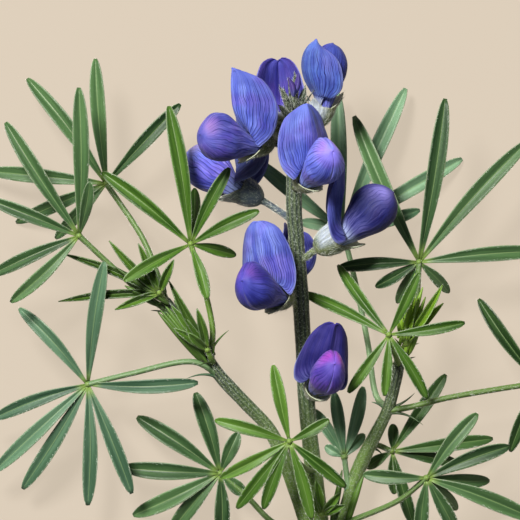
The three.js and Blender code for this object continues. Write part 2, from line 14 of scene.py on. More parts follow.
import bpy
import numpy as np
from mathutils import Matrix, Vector


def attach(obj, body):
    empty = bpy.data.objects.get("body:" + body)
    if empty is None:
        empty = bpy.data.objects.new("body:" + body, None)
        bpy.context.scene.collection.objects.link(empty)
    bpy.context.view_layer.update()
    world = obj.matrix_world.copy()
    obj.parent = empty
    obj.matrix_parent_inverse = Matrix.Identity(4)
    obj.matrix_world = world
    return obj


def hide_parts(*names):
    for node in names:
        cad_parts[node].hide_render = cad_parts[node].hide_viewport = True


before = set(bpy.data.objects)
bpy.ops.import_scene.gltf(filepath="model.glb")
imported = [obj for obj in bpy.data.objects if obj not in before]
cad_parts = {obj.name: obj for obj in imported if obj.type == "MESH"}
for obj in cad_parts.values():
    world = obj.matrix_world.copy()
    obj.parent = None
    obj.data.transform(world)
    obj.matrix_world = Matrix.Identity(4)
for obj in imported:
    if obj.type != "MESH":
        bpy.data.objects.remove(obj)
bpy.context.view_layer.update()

LOG = logging.getLogger("lupin")
MM = 0.001
SEED = 20260
FLOOR_GAP = 0.02

# Short names of types; a shade is a screen colour of 0 to 255
Array = np.ndarray
Random = np.random.Generator
Material = bpy.types.Material
Socket = bpy.types.NodeSocket
Shade = tuple[int, int, int]


@dataclass(frozen=True)
class Limb:
    """One stem.

    Attributes:
        route: Points of its middle line.
        foot: Radius at the foot.
        tip: Radius at the tip.
        length: Rough length, which spaces its swellings and its hairs.
        foot_dome: How far its first end stands out, as a share of its radius.
    """

    route: list[list[float]]
    foot: float
    tip: float
    length: float
    foot_dome: float = 1.0


# The main stem, then the left and the right shoot
LIMBS = [
    Limb([
        [0.2, -2, 1.2], [-0.5, 4, 1.25], [-1.5, 10.5, 2], [-2.6, 19, 4], [-3.4, 27, 6.6],
        [-3.9, 35, 9.4], [-4.5, 45, 12.4], [-5, 52, 13.9], [-5.4, 57, 14.6], [-5.4, 63, 15.1],
        [-5.4, 72, 15.5],
    ], 1.35, 1.1, 75, foot_dome=0.03),
    Limb([
        [-0.5, 3, 1.5], [-2, 6, 2], [-4, 11.5, 3.2], [-6.6, 18.8, 5], [-9.3, 24.3, 6.6],
        [-12.8, 28.1, 8], [-16.6, 32.2, 9.2], [-19.5, 36.4, 10.2], [-22.5, 40.5, 11],
        [-24.6, 43.2, 11.5],
    ], 1.25, 0.8, 48),
    Limb([
        [-0.3, 3, 1.5], [0.9, 8.2, 2.4], [2.4, 11.8, 3.2], [3.9, 16.9, 4.6], [5.4, 20.4, 5.8],
        [7.3, 24.1, 7.2], [8.8, 27.3, 8.4], [9.9, 31.5, 9.6], [10.7, 35.7, 10.6],
    ], 1.25, 0.8, 36),
]

# The banner: its middle line, the reach of one side from it, and how that side curls, each as
# [forward, aside, up], first folded back and then still folded over the wings
OPEN_BANNER = np.array([
    [[2.9, 0, 1.35], [0, 0.7, -0.2], [0, 0, -0.1]],
    [[4.3, 0, 2], [0, 1.1, 0], [0, 0, -0.2]],
    [[4.7, 0, 2.4], [0.4, 2.4, 0.1], [-0.8, 0, -2.5]],
    [[5.1, 0, 2.8], [0.7, 3.2, 0.2], [-1.9, -0.1, -2.9]],
    [[6.2, 0, 3.9], [-0.9, 3.7, 0.3], [-2.9, 0.1, -2.2]],
    [[7.3, 0, 5.5], [-2.6, 3.7, 0.3], [-2.8, 0.3, -1.2]],
    [[7.8, 0, 7.7], [-3, 3.3, 0.2], [-2.4, 0.3, -0.7]],
    [[8, 0, 9.9], [-2.7, 2.6, 0.1], [-1.2, 0.1, -0.4]],
    [[7.9, 0, 11.3], [-1.3, 1.2, 0], [-0.3, 0, -0.4]],
])
CLOSED_BANNER = np.array([
    [[2.9, 0, 1.35], [0, 0.7, -0.2], [0, 0, -0.1]],
    [[4.3, 0, 2], [0, 1.5, -0.1], [0, 0, -0.8]],
    [[4.75, 0, 2.4], [0, 2.3, 0], [-0.2, 0, -2]],
    [[5.2, 0, 2.8], [0.1, 3, 0], [-0.5, 0, -3]],
    [[6.8, 0, 4.3], [-0.1, 3.7, 0], [-0.3, -0.2, -5.8]],
    [[8.6, 0, 5.3], [-0.1, 3.8, 0.1], [-0.3, -0.3, -6.9]],
    [[10.5, 0, 5.6], [0, 3.4, 0.1], [-0.3, -0.3, -6.3]],
    [[12.2, 0, 5.1], [-0.2, 2.5, 0], [-0.3, -0.1, -3.9]],
    [[13.2, 0, 4.1], [-0.3, 1, 0], [-0.1, 0, -0.8]],
])
# The wings as one pouch: forward, top, bottom, half width, how much fuller it is below
WING_STATIONS = np.array([
    [2.6, 0.9, -1.1, 1.35, 0], [4.7, 1.7, -1.6, 1.85, 0], [6.6, 3.1, -2.1, 2.2, 0.18],
    [8.8, 4.5, -2.6, 2.6, 0.34], [10.9, 4.5, -2.3, 2.35, 0.34], [12.4, 3.2, -1, 1.45, 0.2],
    [13, 1.9, 0.4, 0.75, 0],
])
# How far the pouch wraps round from its top, at its base and at its front
WING_WRAP, WING_WRAP_FRONT = math.radians(165), math.radians(180)
# Size of the wings on a closed floret, as a share of the usual
YOUNG_WINGS = 0.8
# The keel inside the wings: forward, up, half width, half height
KEEL_STATIONS = np.array([
    [4, -0.1, 0.3, 0.3], [6, 0, 0.5, 0.8], [8.6, 0.1, 0.7, 1], [10.2, 0.8, 0.5, 0.75],
    [10.9, 1.9, 0.3, 0.35],
])
# The calyx cup: radius at its mouth, where it starts and where its mouth is, height of its middle,
# the length that its rounding takes, how it flares above and below, its wall and its inner bottom
CALYX_RADIUS, CALYX_BASE, CALYX_MOUTH, CALYX_MIDDLE = 2.2, -0.5, 3.0, 0.35
CALYX_ROUNDING, CALYX_UPPER_FLARE, CALYX_LOWER_FLARE = 3.6, 0.62, 0.38
CALYX_WALL, CALYX_BOTTOM = 0.2, 0.7
# Its teeth: bearing round the rim and half width in degrees, length, and how pointed they are
CALYX_TEETH = [
    (62, 30, 1.15, 1.1), (118, 30, 1.15, 1.1), (270, 74, 2.3, 0.9), (270, 16, 0.5, 1.0),
    (246, 12, 0.35, 1.0), (294, 12, 0.35, 1.0),
]
# How often a petal's small folds come across it, and its rim's waves along it
FOLD_PACES, WAVE_PACES = (4, 7, 11, 16, 23, 31), (8, 17, 33)
# The rings that round off both ends of a tube, as angles from its end circle to its pole
DOME_ANGLES = np.radians([84, 60, 30])


def linear(red: float, green: float, blue: float) -> tuple[float, float, float, float]:
    """Turns a screen colour of 0 to 255 into the linear values that a shader takes.

    Args:
        red: Its red.
        green: Its green.
        blue: Its blue.

    Returns:
        Red, green, blue and alpha.
    """
    shares = np.array([red, green, blue]) / 255
    values = np.where(shares <= 0.04045, shares / 12.92, ((shares + 0.055) / 1.055) ** 2.4)
    return (*values.tolist(), 1.0)


def unit(vectors: Array) -> Array:
    """Scales vectors to length one; those of no length stay as they are."""
    length = np.linalg.norm(vectors, axis=-1, keepdims=True)
    return vectors / np.maximum(length, 1e-9)


def ease(values: Array, start: float, end: float) -> Array:
    """Goes smoothly from 0 at start to 1 at end."""
    share = np.clip((np.asarray(values, float) - start) / (end - start), 0, 1)
    return share * share * (3 - 2 * share)


def bell(values: Array, middle: float, width: float) -> Array:
    """Is 1 at the middle and falls off on both sides as a bell curve of the given width."""
    return np.exp(-(((values - middle) / width) ** 2))


def through_rows(rows: Array, places: Array) -> Array:
    """Reads a table of evenly spaced rows as a smooth curve.

    Between rows 1 and 2 the value is a cubic that passes both and leaves each one along the line
    that joins its two neighbours.

    Args:
        rows: The table; its first axis is the row.
        places: Where to read it, from 0 to the last row's number.

    Returns:
        The values, with places along the first axis.
    """
    last = len(rows) - 1
    first = np.clip(np.floor(places).astype(int), 0, last - 1)
    share = (places - first).reshape(-1, *[1] * (rows.ndim - 1))
    before, here = rows[np.maximum(first - 1, 0)], rows[first]
    there, after = rows[first + 1], rows[np.minimum(first + 2, last)]
    return 0.5 * (
        2 * here
        + (there - before) * share
        + (2 * before - 5 * here + 4 * there - after) * share**2
        + (3 * here - before - 3 * there + after) * share**3
    )


def smooth_route(points: list[list[float]], count: int) -> Array:
    """Lays an evenly stepped smooth curve through points.

    The knots stand as far apart as the square roots of the distances, and each stretch blends
    straight lines between neighbours three times over.

    Args:
        points: The points that the curve passes through.
        count: How many points to return.

    Returns:
        The points of the curve, evenly spaced along it.
    """
    known = np.asarray(points, float)
    known = np.vstack([2 * known[0] - known[1], known, 2 * known[-1] - known[-2]])
    knots = np.concatenate([[0], np.cumsum(np.linalg.norm(np.diff(known, axis=0), axis=1) ** 0.5)])
    at = np.linspace(knots[1], knots[-2], count * 6)
    i = np.clip(np.searchsorted(knots, at, side="right") - 1, 1, len(known) - 3)

    def mixed(a: Array, b: Array, low: Array, high: Array) -> Array:
        """Goes in a straight line from a at knot low to b at knot high."""
        return a + (b - a) * ((at - knots[low]) / (knots[high] - knots[low]))[:, None]

    first = mixed(known[i - 1], known[i], i - 1, i)
    second = mixed(known[i], known[i + 1], i, i + 1)
    third = mixed(known[i + 1], known[i + 2], i + 1, i + 2)
    curve = mixed(mixed(first, second, i - 1, i + 1), mixed(second, third, i, i + 2), i, i + 1)
    run = np.concatenate([[0], np.cumsum(np.linalg.norm(np.diff(curve, axis=0), axis=1))])
    even = np.linspace(0, run[-1], count)
    return np.stack([np.interp(even, run, curve[:, axis]) for axis in range(3)], axis=1)


def frames_along(path: Array) -> tuple[Array, Array]:
    """Finds two directions square to a path at each of its points, without twist.

    Args:
        path: Points along the path.

    Returns:
        The first and the second direction at each point.
    """
    tangent = unit(np.gradient(path, axis=0))
    start = np.array([0.0, 0.0, 1.0]) if abs(tangent[0][2]) < 0.8 else np.array([1.0, 0.0, 0.0])
    side = np.empty_like(path)
    for step, way in enumerate(tangent):
        start = unit(start - way * (start @ way))
        side[step] = start
    return side, np.cross(tangent, side)


@dataclass
class Skin:
    """One closed surface: a stack of equal rings, and what its finish needs to know of each point.

    Attributes:
        rings: Points as ring, place in the ring, axis.
        across: Place across the piece, -1 to 1 or round it, at each point.
        along: Place along the piece, 0 to 1, at each point.
        under: 1 on the side that faces away, 0 on the side that faces up or out.
        flush: Strength of the second colour at each point.
        span: Half width of the piece there, in millimetres.
        tint: A number of its own for each repeat.
        sign: 1 if the rings wind so that the faces point out, -1 if they point in.
    """

    rings: Array
    across: Array
    along: Array
    under: Array | float = 0.0
    flush: Array | float = 0.0
    span: Array | float = 1.0
    tint: float = 0.5
    sign: float = field(init=False, default=1.0)

    def __post_init__(self) -> None:
        """Finds out whether the rings wind outwards, from the volume that they enclose."""
        points, quads = self.points(), self.faces()
        a, b, c, d = (points[quads[:, k]] for k in range(4))
        volume = np.einsum("ij,ij->i", a, np.cross(b, c)) + np.einsum("ij,ij->i", a, np.cross(c, d))
        self.sign = 1.0 if volume.sum() > 0 else -1.0

    def points(self) -> Array:
        """Gives all points as one list."""
        return self.rings.reshape(-1, 3)

    def value(self, name: str) -> Array:
        """Gives one of the finish values for every point of the list."""
        return np.broadcast_to(getattr(self, name), self.rings.shape[:2]).reshape(-1)

    def faces(self) -> Array:
        """Joins neighbouring rings by four-sided faces and closes both ends by strips.

        Returns:
            The four points of each face.
        """
        rows, count = self.rings.shape[:2]
        row, column = np.meshgrid(np.arange(rows - 1), np.arange(count), indexing="ij")
        a = row * count + column
        b = row * count + (column + 1) % count
        sides = np.stack([a, b, b + count, a + count], axis=-1).reshape(-1, 4)
        near = np.arange(count // 2 - 1)
        first = np.stack([near + 1, near, count - 1 - near, count - 2 - near], axis=-1)
        last = first[:, ::-1] + (rows - 1) * count
        return np.concatenate([sides, first, last])

    def outward_faces(self) -> Array:
        """Gives the faces wound so that they point out."""
        return self.faces() if self.sign > 0 else self.faces()[:, ::-1]

    def scattered(self, count: int, rng: Random, rows: tuple[int, int] | None = None,
                  columns: tuple[int, int] | None = None) -> tuple[Array, Array, Array]:
        """Picks points spread evenly by area over part of the surface.

        Args:
            count: How many points.
            rng: The random draw.
            rows: First and last ring to use; all by default.
            columns: First and last place in the ring to use; all by default.

        Returns:
            Points, outward normals, and the way towards the next ring.
        """
        low, high = rows or (0, len(self.rings) - 1)
        grid = self.rings[low:high + 1]
        if columns:
            grid = grid[:, columns[0]:columns[1] + 1]
        else:
            grid = np.concatenate([grid, grid[:, :1]], axis=1)
        a, b, c, d = grid[:-1, :-1], grid[:-1, 1:], grid[1:, 1:], grid[1:, :-1]
        square = np.cross(c - a, d - b)
        area = np.linalg.norm(square, axis=-1).reshape(-1)
        picked = rng.choice(area.size, size=count, p=area / area.sum())
        u, v = rng.random((2, count, 1))
        corners = [part.reshape(-1, 3)[picked] for part in (a, b, c, d)]
        lower = corners[0] * (1 - u) + corners[1] * u
        upper = corners[3] * (1 - u) + corners[2] * u
        normal = unit(square.reshape(-1, 3)[picked]) * self.sign
        return lower * (1 - v) + upper * v, normal, unit(upper - lower)


def tube(path: Array, radii: Array, sides: int = 16, ribs: tuple[int, float] = (5, 0.0),
         tint: float = 0.5, foot_dome: float = 1.0) -> Skin:
    """Carries a circle along a path and rounds off both ends.

    The radius at an angle is the given one times 1 plus the rib height times the cosine of the
    number of ribs times that angle.

    Args:
        path: Points of the middle line.
        radii: Radius at each of them.
        sides: Points round the circle, an even number.
        ribs: Number of ribs and their height as a share of the radius.
        tint: The piece's own number.
        foot_dome: How far the first end stands out, as a share of its radius.

    Returns:
        The closed surface; its flush is 1 on the flat of the first end.
    """
    side, other = frames_along(path)
    tangent = np.cross(side, other)
    turn = np.linspace(0, 2 * np.pi, sides, endpoint=False)
    lift, draw, more = np.sin(DOME_ANGLES), np.cos(DOME_ANGLES), len(DOME_ANGLES)
    heads = path[0] - tangent[0] * radii[0] * foot_dome * lift[:, None]
    tails = path[-1] + tangent[-1] * radii[-1] * lift[::-1, None]
    middle = np.vstack([heads, path, tails])
    reach = np.concatenate([radii[0] * draw, radii, radii[-1] * draw[::-1]])
    side = np.vstack([[side[0]] * more, side, [side[-1]] * more])
    other = np.vstack([[other[0]] * more, other, [other[-1]] * more])
    swell = 1 + ribs[1] * np.cos(ribs[0] * turn)
    rings = middle[:, None] + (reach[:, None] * swell)[..., None] * (
        side[:, None] * np.cos(turn)[:, None] + other[:, None] * np.sin(turn)[:, None]
    )
    along = np.broadcast_to(np.linspace(0, 1, len(middle))[:, None], rings.shape[:2])
    around = np.broadcast_to(turn / np.pi - 1, rings.shape[:2])
    flat = (np.arange(len(middle)) < more)[:, None] * float(foot_dome < 1)
    return Skin(rings, around, along, flush=flat, span=reach[:, None], tint=tint)


def plate(sheet: Array, thickness: Array | float, across: Array, along: Array,
          flush: Array | float = 0.0, span: Array | float = 1.0, tint: float = 0.5) -> Skin:
    """Gives a sheet of points two faces, half its thickness to each side along its normals.

    Args:
        sheet: Points as row, column, axis.
        thickness: Thickness in millimetres, for all points or for each.
        across: Place across the sheet, -1 to 1.
        along: Place along the sheet, 0 to 1.
        flush: Strength of the second colour.
        span: Half width of the sheet there.
        tint: The piece's own number.

    Returns:
        The closed surface; its under side is the one that the normals point away from.
    """
    shape = sheet.shape[:2]
    normal = unit(np.cross(np.gradient(sheet, axis=0), np.gradient(sheet, axis=1)))
    half = (np.broadcast_to(thickness, shape) / 2)[..., None] * normal
    rings = np.concatenate([sheet + half, (sheet - half)[:, ::-1]], axis=1)

    def both(value: Array | float) -> Array:
        """Repeats a value of the sheet for its second face."""
        full = np.broadcast_to(value, shape)
        return np.concatenate([full, full[:, ::-1]], axis=1)

    under = np.concatenate([np.zeros(shape), np.ones(shape)], axis=1)
    return Skin(rings, both(across), both(along), under, both(flush), both(span), tint)


class Hair(Enum):
    """The kinds of hair: usual length, how far they stand up, and width at the root."""

    STEM = (0.45, 0.2, 0.036)
    RIM = (0.42, 0.2, 0.035)
    LEAFLET = (0.45, 0.15, 0.035)
    STALK = (0.45, 0.35, 0.035)
    CALYX = (0.65, 0.25, 0.036)
    BUD = (0.55, 0.22, 0.04)
    BRACT = (0.55, 0.3, 0.04)


@dataclass
class Hairs:
    """Fine hairs, each a slim three-sided spike.

    Attributes:
        roots: Lists of root points.
        tips: Lists of tip points.
        widths: Half width of each hair at its root.
        stray: How far a hair's way strays by chance.
        least_rise: How steeply a hair rises from the surface at least.
        sunk: How deep a root lies under the surface.
        floor: The lowest height of a root or tip.
    """

    roots: list[Array] = field(default_factory=list)
    tips: list[Array] = field(default_factory=list)
    widths: list[Array] = field(default_factory=list)
    stray: float = 0.28
    least_rise: float = 0.12
    sunk: float = 0.02
    floor: float = 0.03

    def grow(self, points: Array, normals: Array, along: Array, kind: Hair,
             rng: Random) -> None:
        """Adds one hair at each point, leaning along the surface.

        A hair's way is the way along the surface, plus its lift times the normal, plus a little
        chance; its length is the usual one times a random share from 0.55 to 1.25.

        Args:
            points: Roots of the hairs.
            normals: Outward normals there.
            along: The way that the hairs lean.
            kind: Their kind.
            rng: The random draw.
        """
        length, lift, width = kind.value
        stray = rng.normal(0, self.stray, points.shape)
        way = unit(along + lift * normals * rng.uniform(0.5, 1.5, (len(points), 1)) + stray)
        out = np.einsum("ij,ij->i", way, normals)[:, None]
        way = unit(way + normals * np.maximum(self.least_rise - out, 0))
        reach = length * rng.uniform(0.55, 1.25, (len(points), 1))
        floor = np.array([-np.inf, -np.inf, self.floor])
        self.roots.append(np.maximum(points - normals * self.sunk, floor))
        self.tips.append(np.maximum(points + way * reach, floor))
        self.widths.append(np.full(len(points), width / 2))

    def cover(self, skin: Skin, count: int, kind: Hair, rng: Random,
              rows: tuple[int, int] | None = None, columns: tuple[int, int] | None = None) -> None:
        """Scatters hairs over part of a surface; they lean towards its last ring.

        Args:
            skin: The surface.
            count: How many hairs.
            kind: Their kind.
            rng: The random draw.
            rows: First and last ring to use; all by default.
            columns: First and last place in the ring to use; all by default.
        """
        self.grow(*skin.scattered(count, rng, rows, columns), kind, rng)

    def build(self, name: str, material: Material, slot: str) -> bpy.types.Object:
        """Makes one mesh of all hairs: a triangle at each root, joined to its tip.

        Args:
            name: The piece's name.
            material: Its finish.
            slot: Passed on to placed.

        Returns:
            The new object.
        """
        root, tip = np.vstack(self.roots), np.vstack(self.tips)
        width = np.concatenate(self.widths)[:, None]
        way = unit(tip - root)
        helper = np.where(np.abs(way[:, 2:3]) < 0.8, [[0.0, 0.0, 1.0]], [[1.0, 0.0, 0.0]])
        side = unit(np.cross(way, helper))
        other = np.cross(way, side)
        turns = np.radians([90, 210, 330])
        corners = [root + width * (side * math.cos(t) + other * math.sin(t)) for t in turns]
        points = np.stack([*corners, tip], axis=1).reshape(-1, 3)
        start = (4 * np.arange(len(root)))[:, None, None]
        faces = start + np.array([[0, 2, 1], [0, 1, 3], [1, 2, 3], [2, 0, 3]])
        mesh = bpy.data.meshes.new(name)
        mesh.from_pydata((points * MM).tolist(), [], faces.reshape(-1, 3).tolist())
        return placed(name, mesh, material, slot)


def linked(name: str, data: bpy.types.ID) -> bpy.types.Object:
    """Makes an object of a mesh, light or camera and puts it into the scene."""
    thing = bpy.data.objects.new(name, data)
    bpy.context.scene.collection.objects.link(thing)
    return thing


def placed(name: str, mesh: bpy.types.Mesh, material: Material, slot: str,
           *nodes: str) -> bpy.types.Object:
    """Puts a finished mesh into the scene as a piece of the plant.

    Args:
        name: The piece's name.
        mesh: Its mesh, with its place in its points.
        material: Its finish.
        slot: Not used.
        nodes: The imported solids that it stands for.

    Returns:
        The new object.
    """
    mesh.materials.append(material)
    piece = linked(name, mesh)
    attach(piece, "root")
    if nodes:
        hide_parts(*nodes)
    LOG.info("%s: %d faces", name, len(mesh.polygons))
    return piece


def skinned(name: str, skins: list[Skin], material: Material, slot: str,
            *nodes: str) -> bpy.types.Object:
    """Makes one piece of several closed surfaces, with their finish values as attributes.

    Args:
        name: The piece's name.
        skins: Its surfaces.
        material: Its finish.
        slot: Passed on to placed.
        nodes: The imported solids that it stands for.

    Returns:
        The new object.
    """
    starts = np.cumsum([0] + [len(skin.points()) for skin in skins])
    points = np.vstack([skin.points() for skin in skins])
    faces = np.vstack([skin.outward_faces() + start for skin, start in zip(skins, starts)])
    mesh = bpy.data.meshes.new(name)
    mesh.from_pydata((points * MM).tolist(), [], faces.tolist())
    mesh.polygons.foreach_set("use_smooth", np.ones(len(faces), bool))
    for value in ("under", "flush", "span", "tint"):
        data = np.concatenate([skin.value(value) for skin in skins]).astype(np.float32)
        mesh.attributes.new(value, "FLOAT", "POINT").data.foreach_set("value", data)
    across = np.concatenate([skin.value("across") for skin in skins]) / 2 + 0.5
    along = np.concatenate([skin.value("along") for skin in skins])
    corners = np.empty(len(mesh.loops), np.int32)
    mesh.loops.foreach_get("vertex_index", corners)
    layer = mesh.uv_layers.new(name="surface")
    places = np.stack([across, along], axis=1)[corners]
    layer.data.foreach_set("uv", places.astype(np.float32).ravel())
    return placed(name, mesh, material, slot, *nodes)


class Recipe:
    """Writes one material's nodes in short steps. Values may be numbers, colours or sockets."""

    def __init__(self, name: str, roughness: float, sheen: float = 0.0, glow: float = 0.0,
                 gloss: float = 0.35) -> None:
        """Starts a material.

        Args:
            name: Its name.
            roughness: Its roughness, the same all over, as the next three are.
            sheen: Its velvet sheen.
            glow: How far light goes through it.
            gloss: How strong its reflections are.
        """
        self.material = bpy.data.materials.new(name)
        self.material.use_nodes = True
        self.nodes = self.material.node_tree.nodes
        self.links = self.material.node_tree.links
        self.shader = self.nodes["Principled BSDF"]
        for socket, value in (
            ("Roughness", roughness), ("Sheen Weight", sheen), ("Sheen Roughness", 0.4),
            ("Subsurface Weight", glow), ("Subsurface Radius", (0.6, 0.8, 1.0)),
            ("Subsurface Scale", 0.4 * MM), ("Specular IOR Level", gloss),
        ):
            self.shader.inputs[socket].default_value = value
        self.place = self.nodes.new("ShaderNodeTexCoord").outputs["Object"]

    def put(self, socket: Socket, value: object) -> None:
        """Sets a socket to a number or colour, or joins another socket to it."""
        if isinstance(value, Socket):
            self.links.new(value, socket)
        else:
            socket.default_value = value

    def calc(self, operation: str, *values: object) -> Socket:
        """Does one step of arithmetic.

        Args:
            operation: Its name in Blender.
            values: What it works on.

        Returns:
            The result.
        """
        node = self.nodes.new("ShaderNodeMath")
        node.operation = operation
        for socket, value in zip(node.inputs, values):
            self.put(socket, value)
        return node.outputs[0]

    def part(self, value: object, share: object) -> Socket:
        """Takes a share of a value, which is the two multiplied."""
        return self.calc("MULTIPLY", value, share)

    def mix(self, share: object, first: object, second: object,
            blend: str = "MIX") -> Socket:
        """Goes from the first colour to the second by a share.

        Args:
            share: 0 for the first, 1 for the second.
            first: The first colour.
            second: The second colour.
            blend: How the two are blended.

        Returns:
            The colour.
        """
        node = self.nodes.new("ShaderNodeMix")
        node.data_type = "RGBA"
        node.blend_type = blend
        self.put(node.inputs["Factor"], share)
        self.put(node.inputs[6], first)
        self.put(node.inputs[7], second)
        return node.outputs[2]

    def over(self, colour: object, tone: object, where: object, strength: float,
             blend: str = "MIX") -> Socket:
        """Lays a tone over a colour.

        Args:
            colour: The colour below.
            tone: The colour that is laid over it.
            where: How far it covers, 0 to 1, at each point.
            strength: How far it covers at most.
            blend: How the two are blended.

        Returns:
            The blended colour.
        """
        return self.mix(self.part(where, strength), colour, tone, blend)

    def noise(self, size: float, detail: float = 3.0) -> Socket:
        """Gives noise from 0 to 1 with spots of about the given size in millimetres.

        Args:
            size: Size of the spots.
            detail: How much finer noise is added.

        Returns:
            The noise.
        """
        node = self.nodes.new("ShaderNodeTexNoise")
        node.inputs["Scale"].default_value = 1 / (size * MM)
        node.inputs["Detail"].default_value = detail
        self.links.new(self.place, node.inputs["Vector"])
        return node.outputs[0]

    def streaks(self, across: object, along: object, count: float, length: float) -> Socket:
        """Gives noise from 0 to 1 that is drawn out along the piece.

        Args:
            across: Place across, -1 to 1.
            along: Place along, 0 to 1.
            count: Streaks in each half.
            length: How often they change along the piece.

        Returns:
            The noise.
        """
        join = self.nodes.new("ShaderNodeCombineXYZ")
        self.put(join.inputs["X"], self.calc("MULTIPLY", across, count))
        self.put(join.inputs["Y"], self.calc("MULTIPLY", along, length))
        self.put(join.inputs["Z"], self.calc("MULTIPLY", self.read("tint"), 7.0))
        node = self.nodes.new("ShaderNodeTexNoise")
        node.inputs["Scale"].default_value = 1.0
        node.inputs["Detail"].default_value = 2.0
        self.links.new(join.outputs[0], node.inputs["Vector"])
        return node.outputs[0]

    def step(self, value: object, start: float, end: float) -> Socket:
        """Goes smoothly from 0 at start to 1 at end.

        Args:
            value: What is compared with the two.
            start: Where the result is 0.
            end: Where it is 1; it may be the smaller of the two.

        Returns:
            The share.
        """
        node = self.nodes.new("ShaderNodeMapRange")
        node.interpolation_type = "SMOOTHSTEP"
        self.put(node.inputs["Value"], value)
        low, high = (start, end) if start < end else (end, start)
        node.inputs["From Min"].default_value, node.inputs["From Max"].default_value = low, high
        if start > end:
            node.inputs["To Min"].default_value, node.inputs["To Max"].default_value = 1.0, 0.0
        return node.outputs[0]

    def read(self, name: str) -> Socket:
        """Reads one of the mesh's finish values."""
        node = self.nodes.new("ShaderNodeAttribute")
        node.attribute_name = name
        return node.outputs["Fac"]

    def surface(self) -> tuple[Socket, Socket]:
        """Reads the place across, -1 to 1, and along, 0 to 1, from the piece's own map."""
        node = self.nodes.new("ShaderNodeUVMap")
        node.uv_map = "surface"
        split = self.nodes.new("ShaderNodeSeparateXYZ")
        self.links.new(node.outputs[0], split.inputs[0])
        return self.calc("MULTIPLY_ADD", split.outputs["X"], 2.0, -1.0), split.outputs["Y"]

    def veins(self, count: float, across: object, span: object, thin: float, thick: float) -> object:
        """Draws lines that run along the piece, evenly spaced across it.

        The distance to the nearest line is half the gap between lines at most; a line is solid
        within thin millimetres and gone at thick millimetres.

        Args:
            count: Lines in each half.
            across: Place across, -1 to 1.
            span: Half width of the piece in millimetres.
            thin: Half width of the solid line.
            thick: Half width with its soft edge.

        Returns:
            The strength of the lines.
        """
        turns = self.calc("MULTIPLY_ADD", across, count, 0.5)
        gap = self.calc("ABSOLUTE", self.calc("SUBTRACT", self.calc("FRACT", turns), 0.5))
        away = self.calc("MULTIPLY", gap, self.calc("DIVIDE", span, count))
        return self.step(away, thick, thin)

    def bump(self, height: object, depth: float) -> None:
        """Roughens the surface by a height of 0 to 1 times a depth in millimetres.

        Args:
            height: The height at each point.
            depth: The depth.
        """
        node = self.nodes.new("ShaderNodeBump")
        node.inputs["Strength"].default_value = 0.6
        node.inputs["Distance"].default_value = depth * MM
        self.put(node.inputs["Height"], height)
        self.links.new(node.outputs[0], self.shader.inputs["Normal"])

    def finish(self, colour: object) -> Material:
        """Sets the colour and gives the material."""
        self.put(self.shader.inputs["Base Color"], colour)
        return self.material


class Green(Enum):
    """The greens of the plant, each as its darker and its lighter screen colour."""

    DEEP = ((18, 42, 10), (64, 98, 46))
    FRESH = ((30, 64, 8), (94, 134, 46))
    WAXY = ((70, 106, 74), (130, 166, 130))
    SILKY = ((38, 70, 48), (94, 128, 98))
    YOUNG = ((22, 44, 6), (88, 126, 40))
    LIME = ((78, 116, 14), (138, 176, 54))
    MIDDLE = ((24, 52, 22), (80, 114, 68))


@dataclass(frozen=True)
class LeafFinish:
    """A leaf's finish: green with a pale midrib, faint side veins, pale rims and a silky under side.

    Attributes:
        green: Its green.
        silk: Colour that the under side goes towards.
        rib: Colour of the midrib.
        rim: Colour of the rims.
        foot: Colour of the foot of a leaflet, and of the stalk.
        rim_strength: How far the rim's colour covers.
        faint_rim_strength: The same on young leaves.
    """

    green: Green
    silk: Shade = (132, 154, 124)
    rib: Shade = (140, 162, 104)
    rim: Shade = (158, 172, 138)
    foot: Shade = (126, 152, 70)
    rim_strength: float = 0.5
    faint_rim_strength: float = 0.15

    def material(self) -> Material:
        """Writes the material: clouds of both greens, then each of the details over them."""
        dark, light = (linear(*shade) for shade in self.green.value)
        recipe = Recipe(f"leaf_{self.green.name.lower()}", roughness=0.45, sheen=0.08, glow=0.04)
        across, along = recipe.surface()
        wide = recipe.calc("ABSOLUTE", across)
        cloud = recipe.step(recipe.streaks(across, along, 2.0, 1.6), 0.36, 0.64)
        own = recipe.calc("MULTIPLY_ADD", cloud, 0.4, recipe.part(recipe.read("tint"), 0.6))
        colour = recipe.mix(own, dark, light)
        slant = recipe.calc("MULTIPLY_ADD", along, 15.0, recipe.part(wide, -1.6))
        vein = recipe.calc("ABSOLUTE", recipe.calc("SUBTRACT", recipe.calc("FRACT", slant), 0.5))
        colour = recipe.over(colour, light, where=recipe.step(vein, 0.1, 0.0), strength=0.12)
        silky = recipe.mix(0.5, colour, linear(*self.silk))
        colour = recipe.over(colour, silky, where=recipe.read("under"), strength=0.75)
        rib = recipe.step(wide, 0.09, 0.01)
        colour = recipe.over(colour, linear(*self.rib), where=rib, strength=0.5)
        faint = self.green in (Green.YOUNG, Green.LIME)
        strength = self.faint_rim_strength if faint else self.rim_strength
        rim = recipe.step(wide, 0.9, 1.0)
        colour = recipe.over(colour, linear(*self.rim), where=rim, strength=strength)
        foot = recipe.step(along, 0.13, 0.0)
        colour = recipe.over(colour, linear(*self.foot), where=foot, strength=0.85)
        recipe.bump(recipe.noise(0.5), 0.05)
        return recipe.finish(colour)


